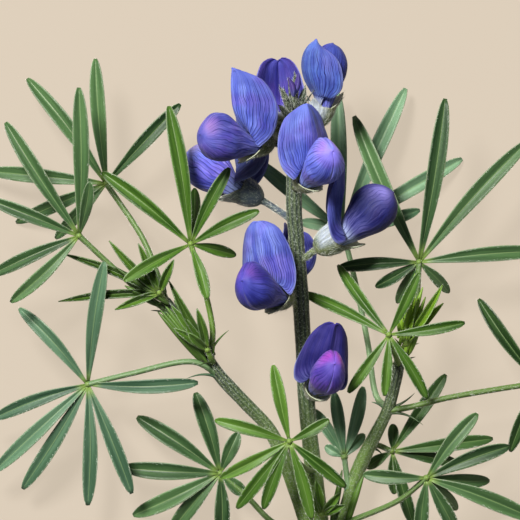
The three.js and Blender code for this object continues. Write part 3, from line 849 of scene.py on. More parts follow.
@dataclass(frozen=True)
class StalkFinish:
    """A stem's finish: green from foot to tip, speckled with lengthwise silver.

    Attributes:
        name: The material's name.
        foot: Colour near the foot.
        tip: Colour near the tip.
        foot_y: Where along the plant it starts to change.
        tip_y: Where it has changed.
        silver: How far silver specks cover it.
        shade: Colour of its darker spots.
        rib: Colour of its ribs.
        hair: Colour of its specks.
        cut: Colour of its cut end.
    """

    name: str
    foot: Shade
    tip: Shade
    foot_y: float
    tip_y: float
    silver: float
    shade: Shade = (52, 68, 44)
    rib: Shade = (150, 168, 110)
    hair: Shade = (176, 188, 172)
    cut: Shade = (196, 198, 156)

    def material(self) -> Material:
        """Writes the material: one colour that turns into the other, with spots, ribs and specks."""
        recipe = Recipe(self.name, roughness=0.5, sheen=0.2, glow=0.04)
        split = recipe.nodes.new("ShaderNodeSeparateXYZ")
        recipe.links.new(recipe.place, split.inputs[0])
        height = recipe.step(split.outputs["Y"], self.foot_y * MM, self.tip_y * MM)
        colour = recipe.mix(height, linear(*self.foot), linear(*self.tip))
        spots = recipe.step(recipe.noise(1.1), 0.42, 0.7)
        colour = recipe.over(colour, linear(*self.shade), where=spots, strength=0.45)
        across, _ = recipe.surface()
        ribs = recipe.veins(5, across, 1.0, 0.02, 0.08)
        colour = recipe.over(colour, linear(*self.rib), where=ribs, strength=0.25)
        specks = recipe.step(recipe.noise(0.22, 1.0), 0.56, 0.66)
        colour = recipe.over(colour, linear(*self.hair), where=specks, strength=self.silver)
        colour = recipe.mix(recipe.read("flush"), colour, linear(*self.cut))
        recipe.bump(recipe.noise(0.3), 0.08)
        return recipe.finish(colour)


class Cup(Enum):
    """The colourings of a calyx: its green, its shaded green, its upper lip and its silver."""

    GREEN = ((104, 116, 62), (62, 72, 42), (92, 102, 80), 0.2)
    # A darker blue-grey copy of the calyx colours: painted shade for a calyx that lies in shadow
    SHADED_SLATE = ((88, 102, 98), (64, 76, 92), (66, 80, 118), 0.16)
    SILVER = ((112, 124, 76), (80, 94, 68), (206, 218, 238), 0.3)


@dataclass(frozen=True)
class SilkyFinish:
    """The finish of a calyx or bud: green, greyed by silky hairs, with an upper side of its own.

    Attributes:
        name: The material's name.
        green: Its green.
        shaded: The green between the hairs.
        upper: Colour that the flush value brings in.
        silver: How far silver specks cover it.
        tip: Colour towards the tips of its teeth.
        inside: Pale colour of its inside, painted light where shade falls in the cup's hollow.
        hair: Colour of its specks.
    """

    name: str
    green: Shade
    shaded: Shade
    upper: Shade
    silver: float
    tip: Shade = (132, 126, 96)
    inside: Shade = (206, 214, 190)
    hair: Shade = (196, 204, 190)

    def material(self) -> Material:
        """Writes the material: clouded green, the streaked upper lip, painted light on the inside,
        and the specks.
        """
        recipe = Recipe(self.name, roughness=0.55, sheen=0.2, glow=0.04)
        across, along = recipe.surface()
        cloud = recipe.step(recipe.noise(0.9), 0.35, 0.65)
        colour = recipe.mix(cloud, linear(*self.green), linear(*self.shaded))
        streak = recipe.step(recipe.streaks(across, along, 24.0, 2.0), 0.35, 0.65)
        darker = linear(*(0.72 * part for part in self.upper))
        upper = recipe.mix(streak, linear(*self.upper), darker)
        colour = recipe.over(colour, upper, where=recipe.read("flush"), strength=0.85)
        tips = recipe.step(along, 0.8, 1.0)
        colour = recipe.over(colour, linear(*self.tip), where=tips, strength=0.3)
        # Painted light: the inside of the cup is paled where shade falls in its hollow
        colour = recipe.over(colour, linear(*self.inside), where=recipe.read("under"), strength=0.8)
        specks = recipe.step(recipe.noise(0.22, 1.0), 0.54, 0.66)
        colour = recipe.over(colour, linear(*self.hair), where=specks, strength=self.silver)
        recipe.bump(recipe.noise(0.3), 0.08)
        return recipe.finish(colour)


# What petals' colours are multiplied by, in linear light, where they are brighter, deeper or redder;
# deeper also serves as painted shade
BRIGHTER = (2.0, 1.9, 1.23, 1.0)
DEEPER = (0.15, 0.165, 0.43, 1.0)
REDDER = (1.49, 0.52, 0.89, 1.0)
# A petal's veins: lines in each half, half width of the solid line and with its soft edge
MAIN_VEINS = (7, 0.022, 0.085)
# Their branches: the same, then where along they start and are full, and how strong they are
VEIN_BRANCHES = ((14, 0.015, 0.07, 0.2, 0.36, 0.8), (28, 0.0, 0.06, 0.5, 0.75, 0.5))


@dataclass(frozen=True)
class PetalFinish:
    """A petal's finish: streaked and clouded blue with a flush, a pale claw, veins and a thin rim.

    Attributes:
        name: The material's name.
        face: Colour of the outer side, which is behind on an open banner.
        back: Colour of the side towards the wings, which shows in front on an open banner.
        flush: Colour that the flush value brings in.
        base: Colour of the claw.
        rim: Colour of the thin margin.
        vein: Colour of the veins.
        strength: How far the veins cover the petal.
        claw: How far along the base colour reaches.
        fade: How far along streaks, veins and rims start to fade.
        low: How far the deep blue covers the outer part of each half, as painted shade on the wings'
            lower side and the banners' margins.
    """

    name: str
    face: Shade
    back: Shade
    flush: Shade
    base: Shade
    rim: Shade = (160, 170, 232)
    vein: Shade = (30, 34, 100)
    strength: float = 1.0
    claw: float = 0.2
    fade: float = 0.8
    low: float = 0.0

    def veins(self, recipe: Recipe, wide: object, along: object) -> Socket:
        """Draws the veins, which branch twice along the petal and are bent a little by noise.

        Args:
            recipe: The material that is being written.
            wide: Distance from the petal's middle line, 0 to 1.
            along: Place along it, 0 to 1.

        Returns:
            The strength of the lines.
        """
        span = recipe.read("span")
        sway = recipe.calc("MULTIPLY_ADD", recipe.noise(3.0, 1.0), 0.2, -0.1)
        waver = recipe.calc("MULTIPLY_ADD", recipe.noise(0.9, 1.0), 0.024, -0.012)
        bent = recipe.calc("ADD", wide, recipe.calc("ADD", sway, waver))
        count, thin, thick = MAIN_VEINS
        lines = recipe.veins(count, bent, span, thin, thick)
        for count, thin, thick, start, full, strength in VEIN_BRANCHES:
            branch = recipe.veins(count, bent, span, thin, thick)
            branch = recipe.part(branch, recipe.step(along, start, full))
            lines = recipe.calc("MAXIMUM", lines, recipe.part(branch, strength))
        return lines

    def material(self) -> Material:
        """Writes the material.

        The two sides' colours are brightened in broad streaks, deepened in clouds and fine streaks,
        deepened along the outer part as painted shade, and reddened in wide clouds; then come flush,
        claw, veins and rim.
        """
        recipe = Recipe(self.name, roughness=0.58, sheen=0.05, glow=0.06, gloss=0.2)
        across, along = recipe.surface()
        wide = recipe.calc("ABSOLUTE", across)
        even = recipe.step(along, 1.0, self.fade)
        broad = recipe.step(recipe.streaks(across, along, 7.0, 1.6), 0.36, 0.64)
        broad = recipe.calc("MULTIPLY_ADD", recipe.calc("SUBTRACT", broad, 0.5), even, 0.5)
        fine = recipe.part(recipe.step(recipe.streaks(across, along, 26.0, 3.0), 0.42, 0.62), even)
        mottle = recipe.step(recipe.noise(2.4), 0.36, 0.66)
        # Painted shade: the outer part of each half, the wings' lower side and the banners' margins,
        # is deepened
        low = recipe.part(recipe.step(wide, 0.42, 0.85), even)
        violet = recipe.step(recipe.noise(4.5), 0.45, 0.65)
        colour = recipe.mix(recipe.read("under"), linear(*self.face), linear(*self.back))
        colour = recipe.mix(recipe.calc("SUBTRACT", 1.0, broad), colour, BRIGHTER, "MULTIPLY")
        for tone, where, strength in ((DEEPER, mottle, 0.45), (DEEPER, fine, 0.4),
                                      (DEEPER, low, self.low), (REDDER, violet, 0.4)):
            colour = recipe.over(colour, tone, where, strength, "MULTIPLY")
        blush = recipe.calc("MULTIPLY_ADD", mottle, -0.4, 1.0)
        blush = recipe.part(recipe.read("flush"), blush)
        colour = recipe.mix(blush, colour, linear(*self.flush))
        paler = recipe.mix(fine, linear(*self.rim), colour)
        inner = recipe.step(along, 0.55, self.claw)
        colour = recipe.over(colour, paler, where=inner, strength=0.3)
        claw = recipe.step(along, self.claw, self.claw * 0.25)
        colour = recipe.mix(claw, colour, linear(*self.base))
        uneven = recipe.calc("MULTIPLY_ADD", recipe.noise(1.5), 1.2, 0.3)
        veins = recipe.part(recipe.part(self.veins(recipe, wide, along), even), uneven)
        colour = recipe.over(colour, linear(*self.vein), where=veins, strength=self.strength)
        rim = recipe.step(wide, 0.95, 1.0)
        rim = recipe.part(rim, recipe.step(along, self.fade + 0.3, self.fade))
        colour = recipe.over(colour, linear(*self.rim), where=rim, strength=0.45)
        folds = recipe.calc("ADD", recipe.noise(0.7), recipe.part(fine, -0.9))
        recipe.bump(recipe.calc("ADD", folds, recipe.part(veins, -0.8)), 0.06)
        return recipe.finish(colour)


@dataclass(frozen=True)
class PlainFinish:
    """An even finish with faint mottling, for hairs and the floor.

    Attributes:
        name: The material's name.
        colour: Its colour.
        roughness: Its roughness.
        mottle: How far a darker tone covers it.
        spot: Size of the spots in millimetres.
        darker: How bright the darker tone is, as a share of the colour.
    """

    name: str
    colour: Shade
    roughness: float
    mottle: float = 0.1
    spot: float = 2.0
    darker: float = 0.85

    def material(self) -> Material:
        """Writes the material."""
        recipe = Recipe(self.name, self.roughness)
        darker = linear(*(self.darker * part for part in self.colour))
        colour = recipe.over(linear(*self.colour), darker, recipe.noise(self.spot), self.mottle)
        return recipe.finish(colour)


@dataclass
class StemWork:
    """The main stem and its two shoots.

    Attributes:
        name: The piece's name.
        sides: Points round each stem.
        steps: Points along each stem.
        ribs: Number of ribs and their height as a share of the radius.
        swelling: How much a swelling adds to the radius.
        swelling_gap: What the length is divided by in the sine that spaces them.
        hairs_per_mm: Hairs for each millimetre of length.
        first_ring: The first ring that has hairs.
    """

    name: str = "stem_and_shoots"
    sides: int = 32
    steps: int = 150
    ribs: tuple[int, float] = (5, 0.035)
    swelling: float = 0.05
    swelling_gap: float = 2.3
    hairs_per_mm: float = 30.0
    first_ring: int = 4

    def limb(self, limb: Limb) -> Skin:
        """Builds one stem with slight swellings along it.

        The radius goes evenly from foot to tip, plus the swelling times the cube of a slow sine.

        Args:
            limb: The stem's route, radii and length.

        Returns:
            The closed surface, cut flat where it meets the surface below.
        """
        path = smooth_route(limb.route, self.steps)
        share = np.linspace(0, 1, self.steps)
        swell = self.swelling * np.sin(share * limb.length / self.swelling_gap) ** 3
        radii = limb.foot + (limb.tip - limb.foot) * share + swell
        skin = tube(path, radii, self.sides, self.ribs, foot_dome=limb.foot_dome)
        skin.rings[..., 2] = np.maximum(skin.rings[..., 2], FLOOR_GAP)
        return skin

    def build(self, hairs: Hairs, rng: Random) -> bpy.types.Object:
        """Builds the stem and gives it its short lying hairs.

        Args:
            hairs: Where its hairs are added.
            rng: The random draw.

        Returns:
            The new object.
        """
        skins = [self.limb(limb) for limb in LIMBS]
        for skin, limb in zip(skins, LIMBS):
            count = int(limb.length * self.hairs_per_mm)
            hairs.cover(skin, count, Hair.STEM, rng, (self.first_ring, self.steps))
        # The green darkens from foot to tip: partly the stem's own colour, partly painted shade on
        # the upper stem
        finish = StalkFinish("stem_silvery_green", foot=(106, 138, 62), tip=(40, 52, 46),
                             foot_y=14, tip_y=34, silver=0.46)
        return skinned(self.name, skins, finish.material(), "stem", "stem")


@dataclass
class LeafWork:
    """One palmate leaf: its stalk, its hub and its leaflets.

    Attributes:
        node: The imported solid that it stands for.
        stalk: Points of the stalk from the stem to the hub.
        leaflets: Rows of bearing in degrees from +X, reach and rise.
        green: Its green.
        seat: True if its lowest leaflet tip lies on the surface.
        young: True for a leaf that is still narrow and half folded.
        stipule: Length of its stipules.
        unopened: How many leaflets still stand folded round the foot of its stalk.
        breadth: How wide its leaflets are, as a share of the usual.
        rows: Points along a leaflet.
        columns: Points across one.
        start: How far from the middle of the hub a leaflet starts.
        thickness: Usual thickness of a leaflet.
        width: What the half widths below are multiplied by.
        least_half_width: Half width of a leaflet without reach.
        width_per_reach: What each millimetre of reach adds to it.
        young_half_width: Half width of a young leaflet.
        widest: Where along it a leaflet is widest.
        narrowest: Its half width at foot and tip, as a share of the greatest.
        fold: How steeply the sides of a leaflet rise from its midrib.
        young_fold: The same on a young leaf.
        roll: How far the rims roll out again.
        lean: How far a leaflet turns about its midrib at most.
        bow: How far a leaflet bows aside at most, as a share of its reach.
        arch: How high it arches, as a share of its reach.
        ripple: How high its rims ripple.
        stalk_radius: Radius of the stalk at its foot.
        stalk_taper: How much thinner it is at the hub.
        foot_flare: How much thicker it is where it leaves the stem.
        hub_flare: How much thicker it is where it meets the hub.
        stipule_radius: Radius of a stipule at its foot.
        spread: Width of the bundle of folded leaflets.
        folded_radius: Radius of a folded leaflet.
        rim_hairs: Hairs for each millimetre of a leaflet's rim.
        under_hairs: Hairs for each millimetre of its under side.
        ring_hairs: Hairs for each ring of the stalk.
    """

    node: str
    stalk: list[list[float]]
    leaflets: list[list[float]]
    green: Green = Green.MIDDLE
    seat: bool = False
    young: bool = False
    stipule: float = 2.1
    unopened: int = 0
    breadth: float = 1.0
    rows: int = 22
    columns: int = 9
    start: float = 0.35
    thickness: float = 0.2
    width: float = 1.15
    least_half_width: float = 0.62
    width_per_reach: float = 0.02
    young_half_width: float = 0.56
    widest: float = 0.62
    narrowest: float = 0.04
    fold: float = 0.72
    young_fold: float = 1.5
    roll: float = 0.12
    lean: float = 0.22
    bow: float = 0.028
    arch: float = 0.06
    ripple: float = 0.05
    stalk_radius: float = 0.46
    stalk_taper: float = 0.05
    foot_flare: float = 0.16
    hub_flare: float = 0.08
    stipule_radius: float = 0.24
    spread: float = 2.3
    folded_radius: float = 0.66
    rim_hairs: float = 2.4
    under_hairs: float = 3.5
    ring_hairs: int = 7

    def half_width(self, reach: float) -> float:
        """Gives a leaflet's greatest half width: by its reach, or the same for all young ones."""
        grown = self.least_half_width + self.width_per_reach * reach
        return self.width * self.breadth * (self.young_half_width if self.young else grown)

    def outline(self, share: Array) -> Array:
        """Gives the half width along a leaflet as a share of its greatest.

        It rises from a fifth as a quarter sine to its widest place and closes as a blunt ellipse.
        A young one starts at half, is widest a little below its middle by a sine, and closes
        bluntly within its last third.

        Args:
            share: Places along it, 0 to 1.

        Returns:
            The half width at each of them.
        """
        if self.young:
            body = 0.5 + 0.5 * np.sin(np.pi * share**0.8)
            return np.maximum(body * (1 - share**6) ** 0.7, self.narrowest)
        rise = 0.2 + 0.8 * np.sin(np.pi / 2 * np.clip(share / self.widest, 0, 1)) ** 1.15
        beyond = np.clip((share - self.widest) / 0.39, 0, 1)
        fall = np.sqrt(np.clip(1 - beyond**2.1, 0, 1))
        return np.maximum(rise * fall, self.narrowest)

    def leaflet(self, hub: Array, row: list[float], rng: Random) -> Skin:
        """Builds one leaflet as a folded, slightly arched and turned blade.

        Its middle line runs straight from the hub, raised by the rise times the share and by an
        arch; its sides rise from the midrib by a part of the half width and roll out again at the
        rims; it bows to one side and turns about its midrib by chance, and its rims ripple.

        Args:
            hub: Where the leaflets meet.
            row: Bearing, reach and rise.
            rng: The random draw.

        Returns:
            The closed surface.
        """
        bearing, reach, rise = row
        turn = math.radians(bearing)
        along = np.array([math.cos(turn), math.sin(turn), 0.0])
        aside = np.array([-math.sin(turn), math.cos(turn), 0.0])
        bow, twist, tint = rng.uniform(-1, 1), rng.uniform(-1, 1), rng.random()
        share = np.linspace(0, 1, self.rows) ** 0.92
        out = self.start + (reach - self.start) * share
        arc = reach * np.sin(np.pi * share)
        middle = hub + out[:, None] * along + (self.bow * bow * arc)[:, None] * aside
        middle[:, 2] += rise * share + self.arch * arc
        across = np.linspace(-1, 1, self.columns)
        wide = np.abs(across)
        half = (self.half_width(reach) * self.outline(share))[:, None]
        fold = self.young_fold if self.young else self.fold
        lean = (self.lean * twist * np.sin(np.pi * share * 0.8))[:, None]
        height = half * (fold * wide**1.25 - self.roll * wide**4 + lean * across)
        height = height + self.ripple * np.sin(17 * share + 6 * tint)[:, None] * across**2
        sheet = middle[:, None] + (half * across)[..., None] * aside
        sheet[..., 2] += height
        thin = self.thickness * (1.35 - 0.75 * wide) * np.ones((self.rows, 1))
        return plate(sheet, thin, across[None], share[:, None], span=half, tint=tint)

    def build(self, hairs: Hairs, rng: Random) -> bpy.types.Object:
        """Builds the leaf in one piece, with hairs on its stalk, its rims and its under side.

        Stalk and hub take their colour from the foot of the leaf finish.

        Args:
            hairs: Where its hairs are added.
            rng: The random draw.

        Returns:
            The new object.
        """
        stalk = np.asarray(self.stalk, float)
        blades = [self.leaflet(stalk[-1], row, rng) for row in self.leaflets]
        steps = 12 * (len(stalk) - 1)
        share = np.linspace(0, 1, steps)
        flares = self.foot_flare * np.exp(-share / 0.05) + self.hub_flare * np.exp((share - 1) / 0.04)
        radii = self.stalk_radius - self.stalk_taper * share + flares
        petiole = tube(smooth_route(self.stalk, steps), radii, 12, (3, 0.07), tint=0.9)
        petiole.along = np.full(petiole.along.shape, 0.08)
        knob = stalk[-1] + np.array([[0, 0, -0.35], [0, 0, -0.1], [0, 0, 0.2]])
        hub = tube(knob, np.array([0.5, 0.56, 0.42]), 16, (5, 0.08), tint=0.9)
        hub.along = np.full(hub.along.shape, 0.03)
        skins = [*blades, petiole, hub, *self.stipules(stalk, rng), *self.folded(stalk, rng)]
        if self.seat:
            drop = min(skin.rings[..., 2].min() for skin in blades) - FLOOR_GAP
            for skin in skins:
                skin.rings[..., 2] -= drop
        last = self.columns - 1
        for blade, (_, reach, _) in zip(blades, self.leaflets):
            for columns, side in (((0, 1), -1), ((last - 1, last), 1)):
                points, normals, along = blade.scattered(int(self.rim_hairs * reach), rng,
                                                         (2, self.rows - 1), columns)
                rim = unit(np.cross(along, normals)) * side * blade.sign
                hairs.grow(points, normals, along + 0.8 * rim, Hair.RIM, rng)
            hairs.cover(blade, int(self.under_hairs * reach), Hair.LEAFLET, rng, (1, self.rows - 1),
                        (self.columns, 2 * self.columns - 1))
        hairs.cover(petiole, steps * self.ring_hairs, Hair.STALK, rng)
        slot = "young_leaf" if self.young else "leaf"
        return skinned(f"{self.node}_blades", skins, leaf_material(self.green), slot, self.node)

    def stipules(self, stalk: Array, rng: Random) -> list[Skin]:
        """Builds the two awl-shaped stipules at the foot of the stalk.

        Each is a slim tube that tapers to a point and curves away from the stalk as a power of
        the way along it.

        Args:
            stalk: Points of the stalk.
            rng: The random draw.

        Returns:
            The two surfaces.
        """
        ahead = unit(stalk[1] - stalk[0])
        aside = unit(np.cross(ahead, [0.3, 0.2, 1.0]))
        share = np.linspace(0, 1, 12)[:, None]
        radii = self.stipule_radius * (1 - share[:, 0]) ** 0.7 + 0.02
        spikes = []
        for sign in (-1, 1):
            length = self.stipule * rng.uniform(0.8, 1.15)
            path = stalk[0] + 0.7 * ahead + sign * 0.4 * aside + share * length * ahead
            curve = 0.12 * share + rng.uniform(0.25, 0.5) * share**2.2
            path = path + sign * aside * length * curve
            path[:, 2] = np.maximum(path[:, 2], 0.3)
            spikes.append(tube(path, radii, 8, tint=0.2))
        return spikes

    def folded(self, stalk: Array, rng: Random) -> list[Skin]:
        """Builds leaflets that have not opened yet, as slim spindles.

        They start in an arched row round the foot of the stalk and point the way that most
        leaflets do, the outer ones turned out a little. Each has a length of its own and starts
        somewhat further along by chance; its radius is a power of a sine along it.

        Args:
            stalk: Points of the stalk.
            rng: The random draw.

        Returns:
            One surface for each.
        """
        turns = np.radians([row[0] for row in self.leaflets])
        way = unit(np.array([np.cos(turns).sum(), np.sin(turns).sum(), 0.12 * len(turns)]))
        aside = unit(np.cross(way, [0.0, 0.0, 1.0]))
        share = np.linspace(0, 1, 16)[:, None]
        radii = self.folded_radius * np.sin(np.pi * (0.1 + 0.88 * share[:, 0] ** 0.85)) ** 0.7 + 0.03
        spindles = []
        for number in range(self.unopened):
            place = number / max(self.unopened - 1, 1) - 0.5
            length = rng.uniform(5, 10)
            foot = stalk[0] + self.spread * place * aside + [0, 0, 1.5 - 2.2 * place**2]
            foot = foot + rng.uniform(0, 2.5) * way
            path = foot + share * length * way + aside * place * 0.12 * length * share**1.6
            path[:, 2] += 0.35 * np.sin(np.pi * share[:, 0])
            spindles.append(tube(path, radii, 12, (2, 0.3), tint=0.1 + 0.8 * rng.random()))
        return spindles


@cache
def leaf_material(green: Green) -> Material:
    """Gives the leaf material of one green, written once and shared."""
    return LeafFinish(green).material()


@cache
def cup_material(cup: Cup) -> Material:
    """Gives the calyx material of one colouring, written once and shared."""
    return SilkyFinish(f"calyx_{cup.name.lower()}", *cup.value).material()


@dataclass
class FloretWork:
    """One pea-shaped floret: calyx cup, banner, wings and keel.

    Attributes:
        number: Its number on the spike.
        root: Point of the stem that it grows from.
        at: The calyx base.
        forward: The way its wings point.
        up: The way its banner stands.
        size: Its size.
        open: How far its banner has opened, 0 to 1.
        fold: How far the halves of the banner fold back, as a share of the usual.
        width: How wide they are, as a share of the usual.
        hang: How low they hang over the wings while it is closed, as a share of the usual.
        notch: How deep the notch at the banner's tip is.
        cup: The colouring of its calyx.
        banner_finish: Finish of the banner.
        wing_finish: Finish of the wings.
        keel_material: Material of the keel.
        banner_closing: How much of the banner's length its rounded tip takes.
        banner_tip_rows: The same in rows of its table.
        middle_softness: How softly the halves of the banner leave its middle line.
        banner_thickness: Thickness of the banner and how much thinner its rim is.
        wing_closing: How much of the wings' length their rounded front takes.
        wing_tip_rows: The same in stations.
        wing_thickness: Thickness of the wings and how much thinner their lower rim is.
        fan_height: Height of the folds that fan out over a petal.
        wave_height: Height of the waves along its rim.
        wing_folds: Height of the wings' folds, as a share of the banner's.
        furrow_depth: How deep the furrow between the wings is.
        wrinkle_height: Height of the fine wrinkles near the base of the wings.
        cup_hairs: Hairs on the calyx cup.
        slate_cup_hairs: The same on a calyx whose slate colouring is painted shade.
        stalk_hairs: Hairs on its stalk.
    """

    number: int
    root: list[float]
    at: list[float]
    forward: list[float]
    up: list[float]
    size: float
    open: float
    fold: float
    width: float
    hang: float
    notch: float
    cup: Cup
    banner_finish: PetalFinish
    wing_finish: PetalFinish
    keel_material: Material
    banner_closing: float = 0.12
    banner_tip_rows: float = 0.9
    middle_softness: float = 0.012
    banner_thickness: tuple[float, float] = (0.2, 0.09)
    wing_closing: float = 0.1
    wing_tip_rows: float = 0.55
    wing_thickness: tuple[float, float] = (0.19, 0.07)
    fan_height: float = 1.6
    wave_height: float = 1.3
    wing_folds: float = 0.8
    furrow_depth: float = 0.35
    wrinkle_height: float = 0.045
    cup_hairs: int = 480
    slate_cup_hairs: int = 200
    stalk_hairs: int = 170

    def placed_in_plant(self, points: Array) -> Array:
        """Turns the floret's own forward, left and up into the plant's axes.

        Args:
            points: Points in the floret's own axes.

        Returns:
            The same points in the plant.
        """
        ahead = unit(np.array(self.forward, float))
        left = unit(np.cross(np.array(self.up, float), ahead))
        above = np.cross(ahead, left)
        return np.array(self.at, float) + self.size * (points @ np.stack([ahead, left, above]))

    def petal(self, own: Array, thickness: Array, across: Array, share: Array,
              flush: Array, span: Array) -> Skin:
        """Places a petal's sheet in the plant and gives it two faces.

        Args:
            own: The sheet in the floret's own axes.
            thickness: Its thickness at each place across.
            across: Places across it, -1 to 1.
            share: Places along it, 0 to 1.
            flush: Strength of the second colour.
            span: Half width of the sheet at each place along it.

        Returns:
            The closed surface.
        """
        return plate(self.placed_in_plant(own), thickness, across[None], share[:, None], flush,
                     span, tint=self.open)

    def banner_skin(self, rows: int = 46, columns: int = 41) -> Skin:
        """Builds the banner: a middle line that bends up, with both sides folded back from it.

        A point lies at the middle line, plus its distance across times the side, plus the square
        of that distance times the curl. Towards the tip the sides rise by the fourth power of the
        way along times the notch, and shrink as a quarter circle. Small folds come last.

        Args:
            rows: Points along it.
            columns: Points across it.

        Returns:
            The closed surface.
        """
        table = CLOSED_BANNER + (OPEN_BANNER - CLOSED_BANNER) * self.open
        share = np.linspace(0, 1, rows)
        last = len(table) - 1
        run = share * (1 + self.banner_closing)
        tip = np.clip((run - 1) / self.banner_closing, 0, 1)
        places = np.minimum(run, 1) * (last - self.banner_tip_rows)
        places = np.minimum(places + self.banner_tip_rows * np.sin(np.pi / 2 * tip), last)
        middle, side, curl = np.moveaxis(through_rows(table, places), 1, 0)
        narrow = np.maximum(np.cos(np.pi / 2 * tip), 0.05)[:, None, None]
        across = np.linspace(-1, 1, columns)
        soft = math.sqrt(self.middle_softness)
        reach = (np.hypot(across, soft) - soft) / (math.hypot(1, soft) - soft)
        out = side[:, None] * reach[:, None] + curl[:, None] * (reach**2)[:, None]
        out[..., 0] *= 1 + (self.fold - 1) * self.open
        out[..., 1] *= self.width * np.sign(across)
        out[..., 2] *= self.hang + (1 - self.hang) * self.open
        out[..., 2] += self.notch * reach * (places / last)[:, None] ** 4
        out = out * narrow
        own = middle[:, None] + out
        own = own + self.creases(own, across[None], share[:, None])
        span = np.linalg.norm(out[:, -1], axis=-1)[:, None] * 1.05 + 0.2
        wide = np.abs(across)
        flush = 0.55 * bell(wide, 1, 0.22) * ease(share, 0.55, 0.9)[:, None]
        thick, thinner = self.banner_thickness
        return self.petal(own, thick - thinner * wide**3, across, share, flush, span)

    def creases(self, own: Array, across: Array, share: Array) -> Array:
        """Gives the small folds of a petal: how far each point moves along the sheet's normal.

        Folds that fan out from the base are a sum of sines across the petal, each with a drift
        along it and a height that falls with its pace; the rim waves as three sines along it.
        Both grow from nothing at the base.

        Args:
            own: The sheet before folding.
            across: Place across it, -1 to 1.
            share: Place along it, 0 to 1.

        Returns:
            The moves.
        """
        rng = np.random.default_rng(SEED + self.number)
        normal = unit(np.cross(np.gradient(own, axis=0), np.gradient(own, axis=1)))
        wide, half = np.abs(across), np.sign(across)
        fan, rim = np.zeros(own.shape[:2]), np.zeros(own.shape[:2])
        for pace in FOLD_PACES:
            turn, drift, phase = pace * rng.uniform(0.8, 1.2), rng.uniform(-6, 6), rng.uniform(0, 6)
            height = self.fan_height / (pace + 3) ** 1.4
            fan += height * np.sin(turn * wide + drift * share + phase * (1 + 0.4 * half))
        for pace in WAVE_PACES:
            rim += self.wave_height / pace * np.sin(pace * share + rng.uniform(0, 6) + half)
        fan = fan * ease(share, 0.12, 0.5) * ease(wide, 0.03, 0.25)
        return (fan + rim * wide**4 * ease(share, 0.2, 0.5))[..., None] * normal

    def wing_skin(self, rows: int = 48, columns: int = 49) -> Skin:
        """Builds the two wings as one pouch with a furrow where they meet.

        Each station is an arc of an egg, fuller below, that wraps 165 degrees to both sides of its
        top near the base, and all the way round further on; the front closes as a quarter circle.
        The sides bulge at their middle. The furrow starts near the base and fades at the front,
        and fine wrinkles cross it near the base. Small folds come last, and calm down towards the
        front and the lower rim.

        Args:
            rows: Points along it.
            columns: Points across it.

        Returns:
            The closed surface.
        """
        shrink = YOUNG_WINGS + (1 - YOUNG_WINGS) * self.open
        share = np.linspace(0, 1, rows)
        way = share[:, None]
        last = len(WING_STATIONS) - 1
        body = 1 - self.wing_closing
        tip = np.clip((share - body) / self.wing_closing, 0, 1)
        places = np.minimum(share / body, 1) * (last - self.wing_tip_rows)
        places = np.minimum(places + self.wing_tip_rows * np.sin(np.pi / 2 * tip), last)
        forward, top, bottom, wide, fuller = through_rows(WING_STATIONS, places).T
        close = np.maximum(np.cos(np.pi / 2 * tip), 0.04)
        wrap = WING_WRAP + (WING_WRAP_FRONT - WING_WRAP) * ease(share, 0.25, 0.45)
        high = (top - bottom) * shrink / (1 - np.cos(wrap))
        middle = top * shrink - high
        across = np.linspace(-1, 1, columns)
        away = np.abs(across)
        angle = wrap[:, None] * across
        bulge = 1 + 0.07 * np.sin(np.pi * away) ** 2
        y = (wide * shrink * close)[:, None] * np.sin(angle) * bulge
        y = y * (1 - fuller[:, None] * np.cos(angle))
        z = middle[:, None] + (high * close)[:, None] * np.cos(angle)
        furrow = bell(across, 0, 0.045) * ease(way, 0.05, 0.3) * ease(way, 1.0, 0.86)
        wrinkle = np.sin(70 * way + 5 * away) * bell(away, 0.3, 0.16)
        wrinkle = wrinkle * ease(way, 0.08, 0.16) * ease(way, 0.42, 0.3)
        z = z - self.furrow_depth * furrow + self.wrinkle_height * wrinkle
        x = forward[:, None] + 0.25 * (1 - away) * tip[:, None]
        own = np.stack([x, y, z], axis=-1)
        calm = ease(way, 0.95, 0.6) * (1 - ease(way, 0.2, 0.4) * away**6)
        own = own + self.wing_folds * self.creases(own, across[None], way) * calm[..., None]
        spot = 0.85 * bell(away, 0.26, 0.2) * bell(way, 0.8, 0.13)
        span = (np.hypot(wide, high) * 1.4 * close)[:, None] + 0.2
        thick, thinner = self.wing_thickness
        return self.petal(own, thick - thinner * away**4, across, share, spot, span)

    def keel_skin(self, rows: int = 24, sides: int = 20) -> Skin:
        """Builds the curved keel that the wings hide: ellipses along its stations.

        Args:
            rows: Rings along it.
            sides: Points round each.

        Returns:
            The closed surface.
        """
        shrink = (YOUNG_WINGS + (1 - YOUNG_WINGS) * self.open) ** 2
        places = np.linspace(0, len(KEEL_STATIONS) - 1, rows)
        forward, up, wide, high = through_rows(KEEL_STATIONS, places).T
        angle = np.linspace(0, 2 * np.pi, sides, endpoint=False)
        y = shrink * wide[:, None] * np.cos(angle)
        z = shrink * (up[:, None] + high[:, None] * np.sin(angle))
        own = np.stack([np.broadcast_to(forward[:, None], y.shape), y, z], axis=-1)
        along = np.broadcast_to(np.linspace(0, 1, rows)[:, None], y.shape)
        around = np.broadcast_to(angle / np.pi - 1, y.shape)
        return Skin(self.placed_in_plant(own), around, along, flush=ease(along, 0.7, 1.0))

